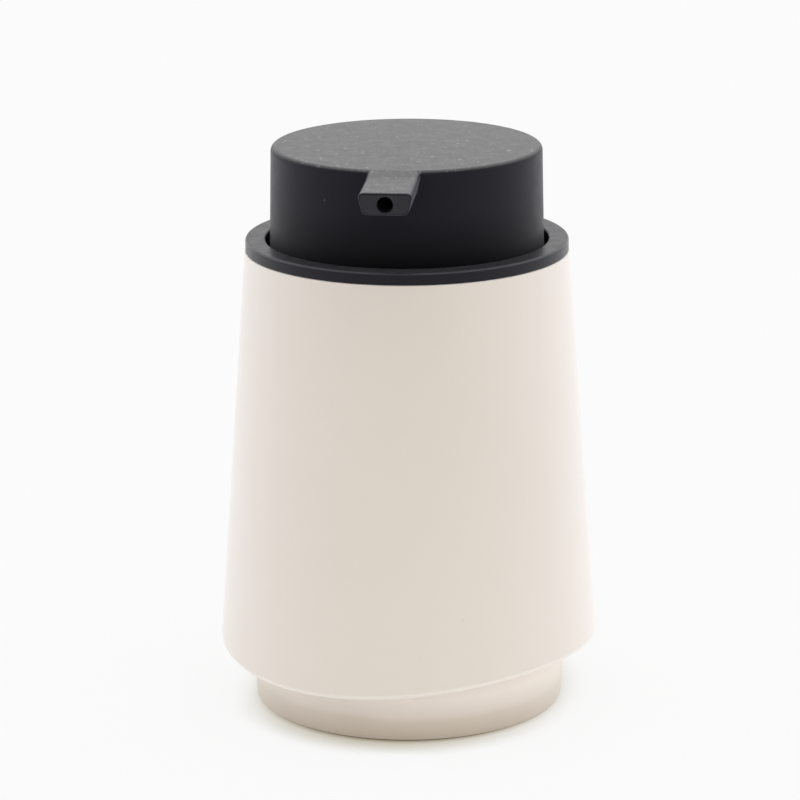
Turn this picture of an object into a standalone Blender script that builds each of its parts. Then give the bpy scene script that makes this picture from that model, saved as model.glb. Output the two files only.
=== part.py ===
"""Countertop soap dispenser: a tapered vessel with a wide push button and a complete piston pump inside.

Metres, +Z up. The origin is on the vessel's axis, at the surface it stands on, and the spout points to -Y.
"""

import math

import bmesh
import bpy
from mathutils import Matrix, Vector

# Driving sizes of the whole
TOTAL_HEIGHT = 0.128
BUTTON_SHOW = 0.0210  # height of the button above the collar at rest
STROKE = 0.014  # how far the button goes down
GAP = 0.0003  # between pieces that rest on or in each other
STOP_GAP = 0.0006  # left at the end of the stroke
OVERRUN = 0.002  # how far a cutter runs past what it cuts
MERGE = 0.00001

# Facets round a turn
WIDE_SEGMENTS = 64
SMALL_SEGMENTS = 24
FINE_SEGMENTS = 16
ARC_STEPS = 2
SHARP_ANGLE = math.radians(32)

# Vessel
MOUTH_R = 0.0333
RIM_WALL = 0.0030
SKIRT_FLARE = 0.0067  # the skirt's edge stands this far outside the rim
SKIRT_Z = 0.0133  # mean height of the skirt's lower edge
SKIRT_WAVE = 0.0019  # the edge rises and falls this much, twice round
SKIRT_CREST = math.radians(58.5)  # from -Y towards +X
SKIRT_FILLET = 0.0010
SKIRT_UNDERCUT = 0.0016
SKIRT_LIP = 0.0050  # width of the skirt's flat underside
SKIRT_OVERHANG = 0.0071  # from the skirt's edge in to the foot
FOOT_DRAFT = 0.0009  # the foot narrows by this down to its base
FOOT_FILLET = 0.0003
VESSEL_WALL = 0.0038
FOOT_WALL = 0.0042
FLOOR_THICK = 0.0047
FLOOR_FILLET = 0.0020
WAIST_CLEAR = 0.0022  # the inside starts to widen this far above the foot
WAIST_RISE = 0.0070
MOUTH_DEPTH = 0.0240
MOUTH_FLARE = 0.0050
RIM_FILLET = 0.0002

# Pad under the foot
FOOT_RIM = 0.0020  # width of the foot's ring round the pad
PAD_THICK = 0.0015
PAD_PROUD = 0.0002
PAD_FILLET = 0.0002

# Collar
RING_INSET = 0.00015  # the ring lies this far inside the rim's edge
RING_THICK = 0.0027
RING_FILLET = 0.0005
RING_FOOT_FILLET = 0.0002
MOUTH_GAP = 0.00043  # between the mouth and the well
WELL_WALL = 0.0012
WELL_FLOOR_THICK = 0.0015
SLEEVE_WALL = 0.0012
SLEEVE_DEPTH = 0.0043
SLEEVE_LIP_THICK = 0.0010
SLEEVE_LIP = 0.0014
SLEEVE_SIDE_GAP = 0.0009  # from its lip to the mouth

# Seal round the collar's sleeve
SEAL_GROOVE = 0.0007  # depth between its two lips
SEAL_LIP_FLAT = 0.0004

# Button and spout
BUTTON_GAP = 0.00097  # between the well and the button
BUTTON_DRAFT = 0.0005  # the button narrows by this up to its top
BUTTON_FILLET = 0.00125
BUTTON_FOOT_FILLET = 0.0003
BUTTON_WALL = 0.0018
BUTTON_TOP_THICK = 0.0022
BUTTON_IN_WELL = 0.0046
HUB_RECESS = 0.0012
SPOUT_PROUD = 0.0191  # how far the spout stands out from the button
SPOUT_DROP = 0.00065  # the spout's top lies this far below the button's
SPOUT_SINK = 0.00005  # depth at which the spout leaves the button's top
SPOUT_RAMP = 0.0060  # length over which it falls to its own level
SPOUT_HEIGHT = 0.00485
SPOUT_TOP_WIDTH = 0.0121
SPOUT_FOOT_WIDTH = 0.0092
SPOUT_TOP_FILLET = 0.0015
SPOUT_FOOT_FILLET = 0.0012
SPOUT_EDGE = 0.0005
SPOUT_BORE_R = 0.00165
SPOUT_BORE_DROP = 0.00255  # from the spout's top to the middle of the bore

# Delivery tube in the spout
LINER_R = 0.00125
LINER_WALL = 0.00035
LINER_RECESS = 0.0030
LINER_START = 0.0008  # from the hub's channel

# Hub under the button
HUB_R = 0.0065
HUB_CHANNEL_R = 0.0016
HUB_DISC_THICK = 0.0015
HUB_RIB_COUNT = 6
HUB_RIB_THICK = 0.0012
HUB_RIB_DEPTH = 0.0050
HUB_ROOF_THICK = 0.0008
SOCKET_DEPTH = 0.0120

# O-ring in the hub's socket
ORING_SECTION_R = 0.00055
ORING_GROOVE_DEPTH = 0.0014
ORING_GROOVE_HEIGHT = 0.0016
ORING_RISE = 0.0030  # from the socket's mouth to the groove

# Pump cylinder
BORE_R = 0.0064
HOUSING_WALL = 0.0012
HOUSING_FLANGE = 0.0036  # how far the flange stands out from the barrel
HOUSING_FLANGE_THICK = 0.0015
SEAT_LEDGE_THICK = 0.0032
SEAT_TOP_R = 0.0034
SEAT_FOOT_R = 0.0015
SEAT_LAND = 0.0012
TUBE_SOCKET_DEPTH = 0.0110
TUBE_SOCKET_WALL = 0.0012
SHOULDER_DROP = 0.0050
GASKET_THICK = 0.0010
LOCK_RING_HEIGHT = 0.0060
LOCK_RING_WALL = 0.0042
LOCK_NOTCH_R = 0.0012
LOCK_NOTCH_COUNT = 10

# Guide bush
GUIDE_FLANGE = 0.0034
GUIDE_FLANGE_THICK = 0.0012
GUIDE_PLUG_DEPTH = 0.0072

# Stem and piston
STEM_R = 0.0040
STEM_BORE_R = 0.0016
STEM_TAIL_R = 0.0032
PISTON_HEIGHT = 0.0070
PISTON_LIP = 0.0014
PISTON_WAIST = 0.0009  # how far the waist lies inside the lips
PISTON_GAP = 0.0002
RETAINER_HEIGHT = 0.0025
RETAINER_WALL = 0.0015
RETAINER_FLOOR = 0.0006
RETAINER_HOLE_R = 0.0019
CHAMBER_R = 0.0027
CHAMBER_SLOPE = 0.0012
CHAMBER_DEPTH = 0.0062

# Valves
INLET_BALL_R = 0.0020
OUTLET_BALL_R = 0.0022
BALL_GAP = 0.0001
INLET_LIFT = 0.0015
OUTLET_LIFT = 0.0012
CAGE_PLATE_THICK = 0.0015
CAGE_SKIRT_WALL = 0.0014
CAGE_HOLE_R = 0.0010
CAGE_HOLE_RING_R = 0.0032
CAGE_HOLE_COUNT = 4
OUTLET_CAGE_BORE_R = 0.0012
OUTLET_NOTCH_COUNT = 3  # each runs right across
OUTLET_NOTCH_WIDTH = 0.0011
OUTLET_NOTCH_DEPTH = 0.0009

# Spring
SPRING_LENGTH = 0.0260
SPRING_WIRE_R = 0.0005
SPRING_R = 0.0045  # to the middle of the wire
SPRING_CURLS = 8
SPRING_POINTS_PER_CURL = 10
SPRING_FLAT_TURN_SHARE = 0.75  # of a turn laid flat at each end

# Dip tube
TUBE_R = 0.0025
TUBE_WALL = 0.0007
TUBE_FLOOR_GAP = 0.0050
TUBE_CUT_ANGLE = math.radians(20)

# Heights that follow from the sizes above
RING_TOP_Z = TOTAL_HEIGHT - BUTTON_SHOW
RING_FOOT_Z = RING_TOP_Z - RING_THICK
RIM_Z = RING_FOOT_Z - GAP
PAD_SEAT_Z = PAD_THICK + GAP
FLOOR_Z = PAD_SEAT_Z + FLOOR_THICK
WAIST_Z = SKIRT_Z + SKIRT_UNDERCUT + WAIST_CLEAR
BUTTON_FOOT_Z = RING_TOP_Z - BUTTON_IN_WELL
BUTTON_ROOF_Z = TOTAL_HEIGHT - BUTTON_TOP_THICK
WELL_FLOOR_Z = BUTTON_FOOT_Z - STROKE - STOP_GAP
WELL_FOOT_Z = WELL_FLOOR_Z - WELL_FLOOR_THICK
SLEEVE_LIP_Z = WELL_FOOT_Z - SLEEVE_DEPTH
SLEEVE_FOOT_Z = SLEEVE_LIP_Z - SLEEVE_LIP_THICK
GASKET_FOOT_Z = WELL_FLOOR_Z + GAP
FLANGE_FOOT_Z = GASKET_FOOT_Z + GASKET_THICK + GAP
FLANGE_TOP_Z = FLANGE_FOOT_Z + HOUSING_FLANGE_THICK
GUIDE_SEAT_Z = FLANGE_TOP_Z + GAP
GUIDE_TOP_Z = GUIDE_SEAT_Z + GUIDE_FLANGE_THICK
GUIDE_FOOT_Z = GUIDE_SEAT_Z - GUIDE_PLUG_DEPTH
PISTON_TOP_Z = GUIDE_FOOT_Z - GAP
PISTON_FOOT_Z = PISTON_TOP_Z - PISTON_HEIGHT
RETAINER_TOP_Z = PISTON_FOOT_Z - GAP
RETAINER_FOOT_Z = RETAINER_TOP_Z - RETAINER_HEIGHT
STEM_FOOT_Z = RETAINER_FOOT_Z + RETAINER_FLOOR + GAP
SPRING_TOP_Z = RETAINER_FOOT_Z - GAP
SPRING_FOOT_Z = SPRING_TOP_Z - SPRING_LENGTH
CAGE_TOP_Z = SPRING_FOOT_Z - GAP
CAGE_ROOF_Z = CAGE_TOP_Z - CAGE_PLATE_THICK
HUB_FOOT_Z = GUIDE_TOP_Z + STROKE + STOP_GAP
SOCKET_ROOF_Z = HUB_FOOT_Z + SOCKET_DEPTH
STEM_TOP_Z = SOCKET_ROOF_Z - GAP
HUB_TOP_Z = BUTTON_ROOF_Z + HUB_RECESS - GAP
SPOUT_TOP_Z = TOTAL_HEIGHT - SPOUT_DROP
SPOUT_FOOT_Z = SPOUT_TOP_Z - SPOUT_HEIGHT
BORE_Z = SPOUT_TOP_Z - SPOUT_BORE_DROP
DISC_TOP_Z = SPOUT_FOOT_Z - GAP
DISC_FOOT_Z = DISC_TOP_Z - HUB_DISC_THICK

# Radii that follow
RIM_R = MOUTH_R + RIM_WALL
SKIRT_R = RIM_R + SKIRT_FLARE
FOOT_TOP_R = SKIRT_R - SKIRT_OVERHANG
FOOT_R = FOOT_TOP_R - FOOT_DRAFT
PAD_R = FOOT_R - FOOT_RIM
RING_R = RIM_R - RING_INSET
WELL_OUTER_R = MOUTH_R - MOUTH_GAP
WELL_R = WELL_OUTER_R - WELL_WALL
BUTTON_FOOT_R = WELL_R - BUTTON_GAP
BUTTON_TOP_R = BUTTON_FOOT_R - BUTTON_DRAFT
SPOUT_REACH = BUTTON_TOP_R + SPOUT_PROUD
HOUSING_R = BORE_R + HOUSING_WALL
FLANGE_R = HOUSING_R + HOUSING_FLANGE
SLEEVE_LIP_R = MOUTH_R - SLEEVE_SIDE_GAP
SLEEVE_R = SLEEVE_LIP_R - SLEEVE_LIP
CONE_SLOPE = (SKIRT_R - RIM_R) / (RIM_Z - SKIRT_Z)
TUBE_SOCKET_R = TUBE_R + GAP


def ball_height(ball_r, seat_foot_r, seat_top_r, seat_foot_z, seat_rise):
    """Height of a ball's centre above a conical seat, just clear of it."""
    half_angle = math.atan2(seat_top_r - seat_foot_r, seat_rise)
    apex_z = seat_foot_z - seat_foot_r / math.tan(half_angle)
    return apex_z + (ball_r + BALL_GAP) / math.sin(half_angle)


# The inlet seat hangs below the cage by what the ball needs
INLET_BALL_Z = CAGE_ROOF_Z - GAP - INLET_LIFT - INLET_BALL_R
SEAT_FOOT_Z = INLET_BALL_Z - ball_height(INLET_BALL_R, SEAT_FOOT_R, SEAT_TOP_R, 0, SEAT_LEDGE_THICK)
LEDGE_Z = SEAT_FOOT_Z + SEAT_LEDGE_THICK
TUBE_TOP_Z = SEAT_FOOT_Z - SEAT_LAND - GAP
SOCKET_FOOT_Z = TUBE_TOP_Z - TUBE_SOCKET_DEPTH
TUBE_FOOT_Z = FLOOR_Z + TUBE_FLOOR_GAP

# The outlet seat lies a chamber's depth under the stem's top
CHAMBER_FLOOR_Z = STEM_TOP_Z - CHAMBER_DEPTH
OUTLET_SEAT_Z = CHAMBER_FLOOR_Z - CHAMBER_SLOPE
OUTLET_BALL_Z = ball_height(OUTLET_BALL_R, STEM_BORE_R, CHAMBER_R, OUTLET_SEAT_Z, CHAMBER_SLOPE)
OUTLET_CAGE_FOOT_Z = OUTLET_BALL_Z + OUTLET_BALL_R + OUTLET_LIFT + GAP


def clear_scene():
    for obj in list(bpy.data.objects):
        bpy.data.objects.remove(obj, do_unlink=True)


def make_collection(name):
    collection = bpy.data.collections.new(name)
    bpy.context.scene.collection.children.link(collection)
    return collection


def material(name, colour, roughness, metallic=0.0):
    made = bpy.data.materials.new(name)
    made.use_nodes = True
    shader = made.node_tree.nodes["Principled BSDF"]
    shader.inputs["Base Color"].default_value = (*colour, 1.0)
    shader.inputs["Roughness"].default_value = roughness
    shader.inputs["Metallic"].default_value = metallic
    return made


def add_object(name, mesh, collection):
    obj = bpy.data.objects.new(name, mesh)
    collection.objects.link(obj)
    return obj


def frozen(obj):
    """Replaces an object's data and modifiers by the mesh that they evaluate to, welded and facing out."""
    bpy.context.view_layer.update()
    graph = bpy.context.evaluated_depsgraph_get()
    mesh = bpy.data.meshes.new_from_object(obj.evaluated_get(graph))
    shape = bmesh.new()
    shape.from_mesh(mesh)
    bmesh.ops.remove_doubles(shape, verts=shape.verts, dist=MERGE)
    bmesh.ops.recalc_face_normals(shape, faces=shape.faces)
    shape.to_mesh(mesh)
    shape.free()
    name = obj.name
    matrix = obj.matrix_world.copy()
    collection = obj.users_collection[0]
    bpy.data.objects.remove(obj)
    solid = add_object(name, mesh, collection)
    solid.matrix_world = matrix
    return solid


def finish(obj, surface):
    """Gives a finished solid its material and its shading."""
    obj.data.materials.clear()
    obj.data.materials.append(surface)
    obj.data.shade_smooth()
    obj.data.set_sharp_from_angle(angle=SHARP_ANGLE)
    return obj


def rounded(corners, steps=ARC_STEPS):
    """Points of an outline given as (x, z) corners, or (x, z, radius) where the corner is an arc."""
    points = []
    for index, corner in enumerate(corners):
        here = Vector(corner[:2])
        radius = corner[2] if len(corner) > 2 else 0
        if not radius:
            points.append(here)
            continue
        back = (Vector(corners[index - 1][:2]) - here).normalized()
        ahead = (Vector(corners[(index + 1) % len(corners)][:2]) - here).normalized()
        half = back.angle(ahead) / 2
        centre = here + (back + ahead).normalized() * (radius / math.sin(half))
        start = here + back * (radius / math.tan(half)) - centre
        end = here + ahead * (radius / math.tan(half)) - centre
        sweep = start.angle_signed(end)
        for step in range(steps + 1):
            points.append(centre + Matrix.Rotation(-sweep * step / steps, 2) @ start)
    return points


def turned(name, corners, segments, collection):
    """A profile at +X turned about Z, listed down its outer side. It may start and end on the axis."""
    points = rounded(corners)
    edges = [(index, index + 1) for index in range(len(points) - 1)]
    if corners[0][0] > 0:
        edges.append((len(points) - 1, 0))
    mesh = bpy.data.meshes.new(name)
    mesh.from_pydata([(point[0], 0, point[1]) for point in points], edges, [])
    obj = add_object(name, mesh, collection)
    screw = obj.modifiers.new("Turn", "SCREW")
    screw.steps = segments
    screw.render_steps = segments
    screw.use_merge_vertices = True
    screw.merge_threshold = MERGE
    return frozen(obj)


def cylinder(name, radius, start, end, segments, collection):
    """A closed cylinder between two points."""
    mesh = bpy.data.meshes.new(name)
    shape = bmesh.new()
    axis = Vector(end) - Vector(start)
    bmesh.ops.create_cone(
        shape, cap_ends=True, segments=segments, radius1=radius, radius2=radius, depth=axis.length
    )
    shape.to_mesh(mesh)
    shape.free()
    obj = add_object(name, mesh, collection)
    obj.rotation_mode = "QUATERNION"
    obj.rotation_quaternion = axis.to_track_quat("Z", "Y")
    obj.location = (Vector(start) + Vector(end)) / 2
    return obj


def box(name, size, collection):
    """A box about its own origin, with its size in its mesh."""
    mesh = bpy.data.meshes.new(name)
    shape = bmesh.new()
    bmesh.ops.create_cube(shape, size=1)
    bmesh.ops.scale(shape, vec=size, verts=shape.verts)
    shape.to_mesh(mesh)
    shape.free()
    return add_object(name, mesh, collection)


def ball(name, radius, height, collection):
    mesh = bpy.data.meshes.new(name)
    shape = bmesh.new()
    bmesh.ops.create_uvsphere(shape, u_segments=FINE_SEGMENTS, v_segments=FINE_SEGMENTS // 2, radius=radius)
    shape.to_mesh(mesh)
    shape.free()
    obj = add_object(name, mesh, collection)
    obj.location.z = height
    return obj


def combine(obj, others, operation):
    """Cuts helpers out of an object or joins them to it, and keeps the helpers as wires that don't render."""
    for other in others:
        other.hide_render = True
        other.display_type = "WIRE"
        boolean = obj.modifiers.new(other.name, "BOOLEAN")
        boolean.operation = operation
        boolean.object = other
    return obj


def skirt_lift(azimuth):
    """How far the skirt's lower edge lies above its mean height, at an azimuth from -Y towards +X."""
    return SKIRT_WAVE * math.cos(2 * (azimuth - SKIRT_CREST))


def wave_skirt(shell):
    """Moves the turned skirt's lower edge up and down along the vessel's cone."""
    lowest = SKIRT_Z - GAP
    highest = SKIRT_Z + SKIRT_FILLET + SKIRT_UNDERCUT + GAP
    for vertex in shell.data.vertices:
        radius = math.hypot(vertex.co.x, vertex.co.y)
        if radius < FOOT_TOP_R - GAP or not lowest < vertex.co.z < highest:
            continue
        lift = skirt_lift(math.atan2(vertex.co.x, -vertex.co.y))
        if radius > FOOT_TOP_R + GAP:
            vertex.co.x *= 1 - CONE_SLOPE * lift / radius
            vertex.co.y *= 1 - CONE_SLOPE * lift / radius
        vertex.co.z += lift


def make_body_shell(parts, surface):
    """The vessel: a hollow cone whose skirt hangs over a narrower foot."""
    flare_z = RIM_Z - MOUTH_DEPTH
    waist_top_z = WAIST_Z + WAIST_RISE
    lower_r = SKIRT_R - CONE_SLOPE * (waist_top_z - SKIRT_Z) - VESSEL_WALL
    upper_r = SKIRT_R - CONE_SLOPE * (flare_z - MOUTH_FLARE - SKIRT_Z) - VESSEL_WALL
    foot_inner_r = FOOT_TOP_R - FOOT_WALL
    lip_r = SKIRT_R - SKIRT_LIP
    shell = turned(
        "body_shell",
        [
            (0, FLOOR_Z),
            (foot_inner_r, FLOOR_Z, FLOOR_FILLET),
            (foot_inner_r, WAIST_Z),
            (lower_r, waist_top_z),
            (upper_r, flare_z - MOUTH_FLARE),
            (MOUTH_R, flare_z),
            (MOUTH_R, RIM_Z, RIM_FILLET),
            (RIM_R, RIM_Z, RIM_FILLET),
            (SKIRT_R, SKIRT_Z, SKIRT_FILLET),
            (lip_r, SKIRT_Z),
            (FOOT_TOP_R, SKIRT_Z + SKIRT_UNDERCUT),
            (FOOT_R, PAD_PROUD, FOOT_FILLET),
            (PAD_R + GAP, PAD_PROUD),
            (PAD_R + GAP, PAD_SEAT_Z),
            (0, PAD_SEAT_Z),
        ],
        WIDE_SEGMENTS,
        parts,
    )
    wave_skirt(shell)
    return finish(shell, surface)


def make_base_pad(parts, surface):
    pad = turned(
        "base_pad",
        [(0, PAD_THICK), (PAD_R, PAD_THICK), (PAD_R, 0, PAD_FILLET), (0, 0)],
        WIDE_SEGMENTS,
        parts,
    )
    return finish(pad, surface)


def make_collar_ring(parts, surface):
    """The ring on the rim, its well for the button, and the sleeve below that carries the seal."""
    ring = turned(
        "collar_ring",
        [
            (RING_R, RING_TOP_Z, RING_FILLET),
            (RING_R, RING_FOOT_Z, RING_FOOT_FILLET),
            (WELL_OUTER_R, RING_FOOT_Z),
            (WELL_OUTER_R, WELL_FOOT_Z),
            (SLEEVE_R, WELL_FOOT_Z),
            (SLEEVE_R, SLEEVE_LIP_Z),
            (SLEEVE_LIP_R, SLEEVE_LIP_Z),
            (SLEEVE_LIP_R, SLEEVE_FOOT_Z),
            (SLEEVE_R - SLEEVE_WALL, SLEEVE_FOOT_Z),
            (SLEEVE_R - SLEEVE_WALL, WELL_FOOT_Z),
            (HOUSING_R + GAP, WELL_FOOT_Z),
            (HOUSING_R + GAP, WELL_FLOOR_Z),
            (WELL_R, WELL_FLOOR_Z),
            (WELL_R, RING_TOP_Z, RING_FILLET),
        ],
        WIDE_SEGMENTS,
        parts,
    )
    return finish(ring, surface)


def make_collar_seal(parts, surface):
    """A soft ring with two lips, between the sleeve's lip and the floor of the well."""
    inner_r = SLEEVE_R + GAP
    lip_r = MOUTH_R - GAP
    waist_r = lip_r - SEAL_GROOVE
    top_z = WELL_FOOT_Z - GAP
    foot_z = SLEEVE_LIP_Z + GAP
    middle_z = (top_z + foot_z) / 2
    half_land = SEAL_LIP_FLAT / 2
    corners = [(inner_r, top_z), (waist_r, top_z)]
    for lip_z in ((top_z + middle_z) / 2, (foot_z + middle_z) / 2):
        corners += [(lip_r, lip_z + half_land), (lip_r, lip_z - half_land)]
        corners += [(waist_r, lip_z - SEAL_GROOVE - half_land)]
    corners[-1] = (waist_r, foot_z)
    corners += [(inner_r, foot_z)]
    return finish(turned("collar_seal", corners, WIDE_SEGMENTS, parts), surface)


def make_housing_gasket(parts, surface):
    top_z = GASKET_FOOT_Z + GASKET_THICK
    gasket = turned(
        "housing_gasket",
        [
            (FLANGE_R, top_z),
            (FLANGE_R, GASKET_FOOT_Z),
            (HOUSING_R + GAP, GASKET_FOOT_Z),
            (HOUSING_R + GAP, top_z),
        ],
        SMALL_SEGMENTS,
        parts,
    )
    return finish(gasket, surface)


def make_pump_housing(parts, surface):
    """The cylinder with its flange, its inlet seat and the socket for the dip tube."""
    socket_outer_r = TUBE_SOCKET_R + TUBE_SOCKET_WALL
    housing = turned(
        "pump_housing",
        [
            (FLANGE_R, FLANGE_TOP_Z),
            (FLANGE_R, FLANGE_FOOT_Z),
            (HOUSING_R, FLANGE_FOOT_Z),
            (HOUSING_R, LEDGE_Z),
            (socket_outer_r, LEDGE_Z - SHOULDER_DROP),
            (socket_outer_r, SOCKET_FOOT_Z),
            (TUBE_SOCKET_R, SOCKET_FOOT_Z),
            (TUBE_SOCKET_R, TUBE_TOP_Z + GAP),
            (SEAT_FOOT_R, TUBE_TOP_Z + GAP),
            (SEAT_FOOT_R, SEAT_FOOT_Z),
            (SEAT_TOP_R, LEDGE_Z),
            (BORE_R, LEDGE_Z),
            (BORE_R, FLANGE_TOP_Z),
        ],
        SMALL_SEGMENTS,
        parts,
    )
    return finish(housing, surface)


def make_lock_ring(parts, cutters, surface):
    """The nut under the well's floor, with grip notches round it."""
    top_z = WELL_FOOT_Z - GAP
    foot_z = top_z - LOCK_RING_HEIGHT
    outer_r = HOUSING_R + GAP + LOCK_RING_WALL
    ring = turned(
        "lock_ring",
        [(outer_r, top_z), (outer_r, foot_z), (HOUSING_R + GAP, foot_z), (HOUSING_R + GAP, top_z)],
        SMALL_SEGMENTS,
        parts,
    )
    notches = []
    for index in range(LOCK_NOTCH_COUNT):
        angle = math.tau * index / LOCK_NOTCH_COUNT
        x = outer_r * math.cos(angle)
        y = outer_r * math.sin(angle)
        start = (x, y, foot_z - OVERRUN)
        end = (x, y, top_z + OVERRUN)
        notches.append(cylinder(f"cut_lock_notch_{index}", LOCK_NOTCH_R, start, end, FINE_SEGMENTS, cutters))
    return finish(combine(ring, notches, "DIFFERENCE"), surface)


def make_stem_guide(parts, surface):
    guide = turned(
        "stem_guide",
        [
            (HOUSING_R + GUIDE_FLANGE, GUIDE_TOP_Z),
            (HOUSING_R + GUIDE_FLANGE, GUIDE_SEAT_Z),
            (BORE_R - GAP, GUIDE_SEAT_Z),
            (BORE_R - GAP, GUIDE_FOOT_Z),
            (STEM_R + GAP, GUIDE_FOOT_Z),
            (STEM_R + GAP, GUIDE_TOP_Z),
        ],
        SMALL_SEGMENTS,
        parts,
    )
    return finish(guide, surface)


def make_stem(parts, surface):
    """The hollow rod, with the outlet valve's chamber at its top and a thinner tail for the piston."""
    stem = turned(
        "stem",
        [
            (STEM_R, STEM_TOP_Z),
            (STEM_R, GUIDE_FOOT_Z),
            (STEM_TAIL_R, GUIDE_FOOT_Z),
            (STEM_TAIL_R, STEM_FOOT_Z),
            (STEM_BORE_R, STEM_FOOT_Z),
            (STEM_BORE_R, OUTLET_SEAT_Z),
            (CHAMBER_R, CHAMBER_FLOOR_Z),
            (CHAMBER_R, STEM_TOP_Z),
        ],
        SMALL_SEGMENTS,
        parts,
    )
    return finish(stem, surface)


def make_piston(parts, surface):
    lip_r = BORE_R - PISTON_GAP
    waist_r = lip_r - PISTON_WAIST
    piston = turned(
        "piston",
        [
            (lip_r, PISTON_TOP_Z),
            (waist_r, PISTON_TOP_Z - PISTON_LIP),
            (waist_r, PISTON_FOOT_Z + PISTON_LIP),
            (lip_r, PISTON_FOOT_Z),
            (STEM_TAIL_R + GAP, PISTON_FOOT_Z),
            (STEM_TAIL_R + GAP, PISTON_TOP_Z),
        ],
        SMALL_SEGMENTS,
        parts,
    )
    return finish(piston, surface)


def make_piston_retainer(parts, surface):
    """A cap on the stem's tail: it holds the piston, and the spring pushes on it."""
    inner_r = STEM_TAIL_R + GAP
    floor_z = RETAINER_FOOT_Z + RETAINER_FLOOR
    retainer = turned(
        "piston_retainer",
        [
            (inner_r + RETAINER_WALL, RETAINER_TOP_Z),
            (inner_r + RETAINER_WALL, RETAINER_FOOT_Z),
            (RETAINER_HOLE_R, RETAINER_FOOT_Z),
            (RETAINER_HOLE_R, floor_z),
            (inner_r, floor_z),
            (inner_r, RETAINER_TOP_Z),
        ],
        SMALL_SEGMENTS,
        parts,
    )
    return finish(retainer, surface)


def spring_points():
    """Points along the wire's middle: a helix whose end turns lie flat."""
    foot_z = SPRING_FOOT_Z + SPRING_WIRE_R
    height = SPRING_LENGTH - 2 * SPRING_WIRE_R
    flat = SPRING_FLAT_TURN_SHARE
    rising = SPRING_CURLS - 2 * flat
    closed_rise = 2 * SPRING_WIRE_R + 2 * GAP  # an end turn climbs just past its own wire
    points = []
    for index in range(SPRING_CURLS * SPRING_POINTS_PER_CURL + 1):
        turns = index / SPRING_POINTS_PER_CURL
        low = min(turns, flat) / flat
        high = max(turns - flat - rising, 0) / flat
        middle = min(max(turns - flat, 0), rising) / rising
        rise = closed_rise * (low + high) + (height - 2 * closed_rise) * middle
        angle = math.tau * turns
        points.append(Vector((SPRING_R * math.cos(angle), SPRING_R * math.sin(angle), foot_z + rise)))
    return points


def least_self_gap(points, radius, skip):
    """Least gap between two stretches of a tube that are more than skip points apart."""
    gaps = []
    for index, point in enumerate(points):
        for other in points[index + skip :]:
            gaps.append((point - other).length - 2 * radius)
    return min(gaps)


def make_return_spring(parts, surface):
    points = spring_points()
    gap = least_self_gap(points, SPRING_WIRE_R, SPRING_POINTS_PER_CURL // 2)
    print(f"return_spring: least gap between its turns {gap * 1000:.2f} mm")
    curve = bpy.data.curves.new("return_spring", "CURVE")
    curve.dimensions = "3D"
    curve.bevel_depth = SPRING_WIRE_R
    curve.bevel_resolution = 1
    curve.use_fill_caps = True
    spline = curve.splines.new("POLY")
    spline.points.add(len(points) - 1)
    for target, point in zip(spline.points, points):
        target.co = (*point, 1)
    return finish(frozen(add_object("return_spring", curve, parts)), surface)


def make_valve_cage(parts, cutters, surface):
    """The perforated plate above the inlet ball, standing on the cylinder's ledge."""
    outer_r = BORE_R - GAP
    cage = turned(
        "valve_cage",
        [
            (0, CAGE_TOP_Z),
            (outer_r, CAGE_TOP_Z),
            (outer_r, LEDGE_Z + GAP),
            (outer_r - CAGE_SKIRT_WALL, LEDGE_Z + GAP),
            (outer_r - CAGE_SKIRT_WALL, CAGE_ROOF_Z),
            (0, CAGE_ROOF_Z),
        ],
        SMALL_SEGMENTS,
        parts,
    )
    holes = []
    for index in range(CAGE_HOLE_COUNT):
        angle = math.tau * index / CAGE_HOLE_COUNT
        x = CAGE_HOLE_RING_R * math.cos(angle)
        y = CAGE_HOLE_RING_R * math.sin(angle)
        start = (x, y, CAGE_ROOF_Z - OVERRUN)
        end = (x, y, CAGE_TOP_Z + OVERRUN)
        holes.append(cylinder(f"cut_cage_hole_{index}", CAGE_HOLE_R, start, end, FINE_SEGMENTS, cutters))
    return finish(combine(cage, holes, "DIFFERENCE"), surface)


def make_dip_tube(parts, cutters, surface):
    """The suction tube, with its lower end cut at a slant so that it can't seal on the floor."""
    tube = turned(
        "dip_tube",
        [
            (TUBE_R, TUBE_TOP_Z),
            (TUBE_R, TUBE_FOOT_Z),
            (TUBE_R - TUBE_WALL, TUBE_FOOT_Z),
            (TUBE_R - TUBE_WALL, TUBE_TOP_Z),
        ],
        FINE_SEGMENTS,
        parts,
    )
    side = 4 * TUBE_R
    slant = box("cut_tube_slant", (side, side, side), cutters)
    slant.rotation_euler.x = TUBE_CUT_ANGLE
    rise = TUBE_R * math.tan(TUBE_CUT_ANGLE) - side / 2 / math.cos(TUBE_CUT_ANGLE)
    slant.location.z = TUBE_FOOT_Z + rise
    return finish(combine(tube, [slant], "DIFFERENCE"), surface)


def make_outlet_cage(parts, cutters, surface):
    """The ring over the outlet ball, notched across its foot so that soap gets past the lifted ball."""
    outer_r = CHAMBER_R - GAP
    cage = turned(
        "outlet_cage",
        [
            (outer_r, STEM_TOP_Z),
            (outer_r, OUTLET_CAGE_FOOT_Z),
            (OUTLET_CAGE_BORE_R, OUTLET_CAGE_FOOT_Z),
            (OUTLET_CAGE_BORE_R, STEM_TOP_Z),
        ],
        SMALL_SEGMENTS,
        parts,
    )
    notches = []
    for index in range(OUTLET_NOTCH_COUNT):
        size = (2 * (outer_r + OVERRUN), OUTLET_NOTCH_WIDTH, 2 * OUTLET_NOTCH_DEPTH)
        notch = box(f"cut_outlet_notch_{index}", size, cutters)
        notch.rotation_euler.z = math.pi * index / OUTLET_NOTCH_COUNT
        notch.location.z = OUTLET_CAGE_FOOT_Z
        notches.append(notch)
    return finish(combine(cage, notches, "DIFFERENCE"), surface)


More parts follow.
